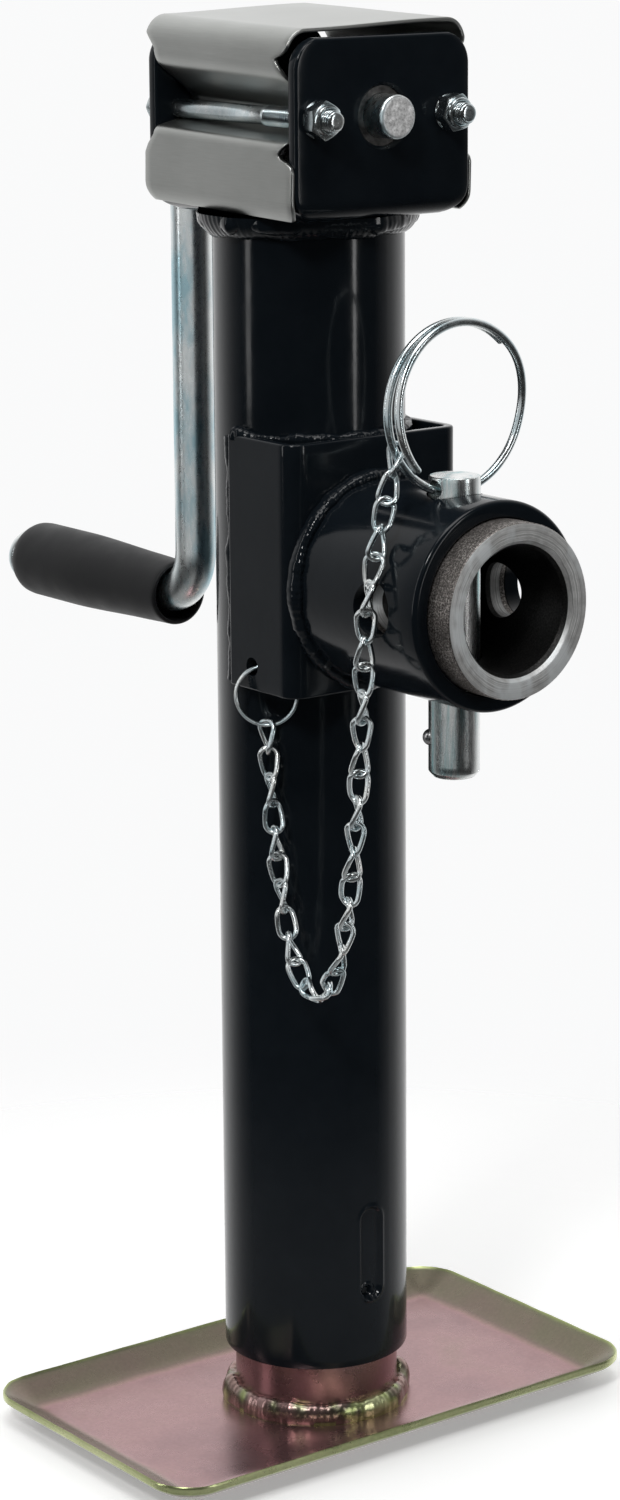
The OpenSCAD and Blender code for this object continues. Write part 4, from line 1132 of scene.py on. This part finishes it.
# ---------------------------------------------------------------- pin, rings and chain

RING_LOW, RING_HIGH = box("pin_ring")
WIRE_R = 1.25
RING_R = float(RING_HIGH[0] - RING_LOW[0]) / 2 - WIRE_R
RING_Z = float(RING_LOW[2] + RING_HIGH[2]) / 2
HOLE_Z = RING_Z - RING_R + 1.3


def make_pin():
    """The pull pin with the ring's hole, and the ball that stands out of its side."""
    low, high = float(PIN_LOW[2]), float(PIN_HIGH[2])
    profile = [(0.0, low), (3.0, low), (PIN_R - 1.9, low + 0.02), (PIN_R - 1.5, low + 0.12),
               (PIN_R - 0.25, low + 1.5), (PIN_R, low + 1.9)]
    profile += [(PIN_R, z) for z in np.linspace(low + 4, high - 1.4, 24)]
    profile += [(PIN_R, high - 0.7), (PIN_R - 0.12, high - 0.28), (PIN_R - 0.45, high - 0.03),
                (PIN_R - 1.4, high),
                (4.0, high), (2.0, high), (0.0, high)]
    pin = piece("pull_pin_body", Shape().add(turned(profile, "z", (0, PIN_Y, 0), 72)), ZINC_PIN, None)
    cut(pin, [rod(2.75, "x", (0, PIN_Y, HOLE_Z), -12, 12, 48)])
    finish(pin, ZINC_PIN, "pull_pin", ["pull_pin"], 34)
    ball_r, ball_z, stands_out, turn = 2.5, 227.7, 1.7, math.radians(-37)
    centre = np.array([-math.cos(turn), -math.sin(turn)]) * (PIN_R + stands_out - ball_r)
    rows = []
    for lat in np.radians(np.linspace(-90, 90, 17)):
        r = ball_r * math.cos(lat)
        rows.append([(centre[0] + r * math.cos(t), PIN_Y + centre[1] + r * math.sin(t),
                      ball_z + ball_r * math.sin(lat))
                     for t in np.linspace(0, 2 * math.pi, 32, endpoint=False)])
    piece("detent_ball_head", Shape().add(grid(rows)), BRIGHT, "detent_ball", ["detent_ball"])


def rounded_wire(centres, radius, sides=24):
    """A wire with softly rounded ends."""
    c = np.asarray(centres, float)
    head, tail = c[0] - c[1], c[-1] - c[-2]
    head, tail = head / np.linalg.norm(head), tail / np.linalg.norm(tail)
    steps = ((0.5, 0.45), (0.42, 0.75), (0.22, 0.93))
    front = [c[0] + head * radius * reach for reach, _ in steps]
    back = [c[-1] + tail * radius * reach for reach, _ in steps[::-1]]
    ends = [radius * share for _, share in steps]
    return sweep(np.array(front + c.tolist() + back), np.array(ends + [radius] * len(c) + ends[::-1]), sides)


def make_pull_ring():
    """One wire: a free end at the lower left in front, round the front coil, and once more behind it."""
    points = []
    for deg in np.arange(221, -316, -2.5):
        a = math.radians(deg)
        gap = 24.35 * (1 - math.cos(math.radians(max(0.0, deg - 62)))) * math.sin(math.radians(4.2))
        front = 2.5 * smooth((deg + 20) / 62)
        points.append((RING_R * math.cos(a), PIN_Y - front - gap, RING_Z + RING_R * math.sin(a)))
    ring = Shape().add(rounded_wire(points, WIRE_R, 24))
    piece("pull_ring_wire", ring, ZINC_WIRE, "pin_ring", ["pin_ring"], 60)


ANCHOR_R, ANCHOR_WIRE = 9.05, 0.62
ANCHOR_TURN = math.radians(42)
ANCHOR_CENTRE = ANCHOR_HOLE + (3 * math.cos(ANCHOR_TURN), -3 * math.sin(ANCHOR_TURN), -8.9)


def make_anchor_ring():
    """The small split ring that hangs in the bracket's hole."""
    flat = np.array([math.cos(ANCHOR_TURN), -math.sin(ANCHOR_TURN), 0.0])
    out = np.array([-math.sin(ANCHOR_TURN), -math.cos(ANCHOR_TURN), 0.0])
    points = []
    for deg in np.arange(250, -246, -3):
        a = math.radians(deg)
        side = 0.62 * (1 - 2 * smooth((250 - deg) / 360)) + 0.1
        shrink = 0.35 * smooth((deg - 160) / 80)
        round_point = math.cos(a) * flat + math.sin(a) * np.array([0, 0, 1.0])
        points.append(ANCHOR_CENTRE + (ANCHOR_R - shrink) * round_point + side * out)
    piece("anchor_ring_wire", Shape().add(rounded_wire(points, ANCHOR_WIRE, 16)), ZINC_WIRE, "frame",
          ["anchor_ring"], 60)


LINKS, UPPER = 33, 6
CHAIN_LOW_Z = 148.6
CHAIN_FROM = ANCHOR_CENTRE + (0, 0, 0.6 - ANCHOR_R)
CHAIN_TOUCH = np.array([-34.6, -71.5, 272.0])
HOOK = np.array([RING_R * math.cos(math.radians(208)), PIN_Y, RING_Z + RING_R * math.sin(math.radians(208))])
CHAIN_TO = HOOK + 2.4 * (HOOK - CHAIN_TOUCH) / np.linalg.norm(HOOK - CHAIN_TOUCH)
SPAN = (CHAIN_TOUCH - CHAIN_FROM)[:2]
SPAN_LENGTH = float(np.linalg.norm(SPAN))
DROP_A, DROP_B = CHAIN_FROM[2] - CHAIN_LOW_Z, CHAIN_TOUCH[2] - CHAIN_LOW_Z


def span_for(a):
    """How wide a chain hangs between its two ends for a given catenary constant."""
    return a * (math.acosh(1 + DROP_A / a) + math.acosh(1 + DROP_B / a))


def catenary():
    """The catenary constant that fits the chain's two ends and its lowest point."""
    low, high = 2.0, 30.0
    for _ in range(40):
        middle = (low + high) / 2
        if span_for(middle) > SPAN_LENGTH:
            high = middle
        else:
            low = middle
    return (low + high) / 2


SAG = catenary()
ARC_A = math.sqrt((DROP_A + SAG) ** 2 - SAG**2)
ARC_B = math.sqrt((DROP_B + SAG) ** 2 - SAG**2)
CHAIN_LENGTH = ARC_A + ARC_B + float(np.linalg.norm(CHAIN_TO - CHAIN_TOUCH))
PITCH = CHAIN_LENGTH / LINKS


def chain_point(s):
    """The point of the hanging chain at length s from the bracket's ring."""
    if s < ARC_A + ARC_B:
        u = s - ARC_A
        along = SAG * math.asinh(u / SAG) + SAG * math.asinh(ARC_A / SAG)
        flat = CHAIN_FROM[:2] + SPAN * along / SPAN_LENGTH
        return np.array([flat[0], flat[1], CHAIN_LOW_Z + math.sqrt(u * u + SAG * SAG) - SAG])
    t = (s - ARC_A - ARC_B) / float(np.linalg.norm(CHAIN_TO - CHAIN_TOUCH))
    return CHAIN_TOUCH + (CHAIN_TO - CHAIN_TOUCH) * t


def chain_link(i):
    """A wire oval twisted about its length, between two points of the chain."""
    wire, width = 0.76, 6.8
    low, high = chain_point(i * PITCH), chain_point((i + 1) * PITCH)
    up = (high - low) / np.linalg.norm(high - low)
    across = np.array([-SPAN[1], SPAN[0], 0.0]) / SPAN_LENGTH
    flat = across - (across @ up) * up
    flat /= np.linalg.norm(flat)
    side = np.cross(up, flat)
    lean = math.radians(22 * math.sin(1.7 * i) + (0 if i % 2 else 90) + 34)
    if i == 0 or i >= LINKS - 2:
        lean = math.radians(0 if i % 2 else 90)
    wide = math.cos(lean) * flat + math.sin(lean) * side
    thin = np.cross(up, wide)
    middle = (low + high) / 2
    bend = (width - 2 * wire) / 2
    straight = (PITCH + 0.2 + 2 * wire) / 2 - bend
    twist = math.radians(38)
    quarter = math.pi * bend / 2
    total = 4 * (quarter + straight)
    centres = []
    for s in np.linspace(0, total, 72, endpoint=False):
        flip, rest = divmod(s, 2 * (quarter + straight))
        if rest < 2 * quarter:
            x, z = bend * math.cos(rest / bend), straight + bend * math.sin(rest / bend)
        else:
            x, z = -bend, straight - (rest - 2 * quarter)
        if flip:
            x, z = -x, -z
        turn = twist * z / (straight + bend)
        centres.append(middle + x * (math.cos(turn) * wide + math.sin(turn) * thin) + z * up)
    return sweep(centres, wire, 12, closed=True)


def make_chain():
    """Three strands of links, the lower left, the lower right and the upper, built where they hang."""
    lower_left, lower_right, upper = Shape(), Shape(), Shape()
    lowest = ARC_A / PITCH
    for i in range(LINKS):
        made = chain_link(i)
        if i >= LINKS - UPPER:
            upper.add(made)
        elif i < lowest:
            lower_left.add(made)
        else:
            lower_right.add(made)
    left = piece("chain_left_strand", lower_left, ZINC_WIRE, None, ["chain_lower"], 60)
    right = piece("chain_right_strand", lower_right, ZINC_WIRE, None, ["chain_lower"], 60)
    top = piece("chain_top_strand", upper, ZINC_WIRE, None, ["chain_upper"], 60)
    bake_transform(left)
    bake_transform(right)
    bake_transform(top)


make_pin()
make_pull_ring()
make_anchor_ring()
make_chain()


# ---------------------------------------------------------------- CAD nodes that stay

KEPT = {
    "inner_tube": YELLOW,
    "front_bushing": WORN,
    "rear_bushing": DARK,
    "crank_collar": DARK,
    "screw_bushing": BRONZE,
    "lift_nut": BRONZE,
}
for name, obj in NODES.items():
    if obj.hide_render:
        continue
    obj.data.materials.clear()
    obj.data.materials.append(KEPT.get(name, BRIGHT))
    obj.data.polygons.foreach_set("use_smooth", [True] * len(obj.data.polygons))


# ---------------------------------------------------------------- floor, light and camera


def make_floor():
    """A pale disc that fades into the backdrop."""
    mesh = bpy.data.meshes.new("studio_floor")
    rows = []
    for r in np.linspace(0.02, 0.62, 16):
        rows.append([(r * math.cos(a), r * math.sin(a), -0.0004)
                     for a in np.linspace(0, 2 * math.pi, 96, endpoint=False)])
    verts, faces = grid(rows, caps=(True, False))
    mesh.from_pydata(verts.tolist(), [], faces)
    floor = bpy.data.objects.new("studio_floor", mesh)
    bpy.context.scene.collection.objects.link(floor)
    mat, tree, shader = material("pale_floor")
    shader.inputs["Base Color"].default_value = (0.93, 0.93, 0.925, 1)
    shader.inputs["Roughness"].default_value = 0.6
    shader.inputs["Emission Color"].default_value = (1, 1, 1, 1)
    shader.inputs["Emission Strength"].default_value = 0.3
    coordinates = node(tree, "ShaderNodeTexCoord").outputs["Object"]
    length = node(tree, "ShaderNodeVectorMath", {0: coordinates}, operation="LENGTH").outputs["Value"]
    fade = ramp(tree, length, [(0.14, grey(1.0)), (0.4, grey(0.0))], "EASE")
    glossy = node(tree, "ShaderNodeLightPath").outputs["Is Glossy Ray"]
    dimmed = node(tree, "ShaderNodeMath", {0: glossy, 1: -0.75, 2: 1.0}, operation="MULTIPLY_ADD").outputs[0]
    link(tree, mix(tree, 1.0, fade, dimmed, "MULTIPLY"), shader, "Alpha")
    mesh.materials.append(mat)


def area(name, at, to, width, height, power):
    """A soft box that faces a point."""
    light = bpy.data.lights.new(name, "AREA")
    light.shape = "RECTANGLE"
    light.size, light.size_y, light.energy = width, height, power
    obj = bpy.data.objects.new(name, light)
    at, to = Vector(at), Vector(to)
    obj.location = at
    obj.rotation_mode = "QUATERNION"
    obj.rotation_quaternion = (to - at).to_track_quat("-Z", "Y")
    bpy.context.scene.collection.objects.link(obj)
    return obj


def make_light(azimuth):
    """A pale studio: bright behind the object, dim in front of it, with soft boxes."""
    world = bpy.data.worlds.new("studio")
    bpy.context.scene.world = world
    world.use_nodes = True
    tree = world.node_tree
    tree.nodes.clear()
    direction = node(tree, "ShaderNodeTexCoord").outputs["Generated"]
    away = (-math.sin(azimuth), math.cos(azimuth), 0.12)
    facing = node(tree, "ShaderNodeVectorMath", {0: direction, 1: away},
                  operation="DOT_PRODUCT").outputs["Value"]
    spread = node(tree, "ShaderNodeMapRange", {"Value": facing, "From Min": -1.0,
                                               "From Max": 1.0}).outputs["Result"]
    tone = ramp(tree, spread, [(0.0, grey(0.02)), (0.45, grey(0.025)), (0.6, grey(0.3)),
                               (0.8, grey(0.9)), (1.0, grey(1.05))])
    studio = node(tree, "ShaderNodeBackground", {"Color": tone, "Strength": 1.0})
    backdrop = node(tree, "ShaderNodeBackground", {"Color": (0.955, 0.957, 0.96, 1.0), "Strength": 1.0})
    seen = node(tree, "ShaderNodeLightPath").outputs["Is Camera Ray"]
    blend = node(tree, "ShaderNodeMixShader", {0: seen, 1: studio.outputs[0], 2: backdrop.outputs[0]})
    output = node(tree, "ShaderNodeOutputWorld")
    tree.links.new(blend.outputs[0], output.inputs["Surface"])
    centre = (0, 0, 0.25)
    back = Vector((math.sin(azimuth), -math.cos(azimuth), 0))
    side = Vector((math.cos(azimuth), math.sin(azimuth), 0))
    area("top_box", tuple(back * 0.3 + Vector((0, 0, 1.5))), centre, 0.9, 0.7, 8)
    area("left_box", tuple(side * -1.5 + back * 0.35 + Vector((0, 0, 0.7))), centre, 0.2, 1.3, 3)
    area("right_strip", tuple(side * 1.3 + back * 0.9 + Vector((0, 0, 0.6))), centre, 0.12, 1.1, 3.2)
    area("front_high", tuple(back * 1.3 + side * -0.5 + Vector((0, 0, 1.5))), centre, 0.3, 0.3, 9)
    # this one lights only the plated bar, pin, rings and chain
    panel = area("plate_panel", tuple(back * 1.15 + side * -0.6 + Vector((0, 0, 0.45))), centre, 2.0, 1.2,
                 4.5)
    lit = bpy.data.collections.new("bright_plated_pieces")
    for thing in bpy.data.objects:
        slots = thing.material_slots if thing.type == "MESH" else []
        if slots and slots[0].material in (ZINC, ZINC_WIRE, ZINC_PIN) and not thing.name.startswith("cover_"):
            lit.objects.link(thing)
    panel.light_linking.receiver_collection = lit


def make_camera(azimuth, elevation, roll):
    """The camera at the viewing angle and distance that the photograph was solved for."""
    back = Vector((math.sin(azimuth) * math.cos(elevation), -math.cos(azimuth) * math.cos(elevation),
                   math.sin(elevation)))
    right = Vector((math.cos(azimuth), math.sin(azimuth), 0))
    up = back.cross(right)
    right_rolled = right * math.cos(roll) + up * math.sin(roll)
    up_rolled = up * math.cos(roll) - right * math.sin(roll)
    place_at = Vector((0, 0, 0.21112)) - right * 0.000656 + back * 1.18565
    data = bpy.data.cameras.new("camera")
    data.lens, data.sensor_width, data.sensor_fit = 93.4, 36.0, "AUTO"
    data.clip_start, data.clip_end = 0.05, 100
    camera = bpy.data.objects.new("camera", data)
    camera.matrix_world = Matrix((
        (right_rolled.x, up_rolled.x, back.x, place_at.x),
        (right_rolled.y, up_rolled.y, back.y, place_at.y),
        (right_rolled.z, up_rolled.z, back.z, place_at.z),
        (0, 0, 0, 1),
    ))
    bpy.context.scene.collection.objects.link(camera)
    bpy.context.scene.camera = camera


AZIMUTH = math.radians(-37.1)
make_floor()
make_light(AZIMUTH)
make_camera(AZIMUTH, math.radians(13.349), math.radians(-0.415))
bpy.context.scene.view_settings.view_transform = "Standard"
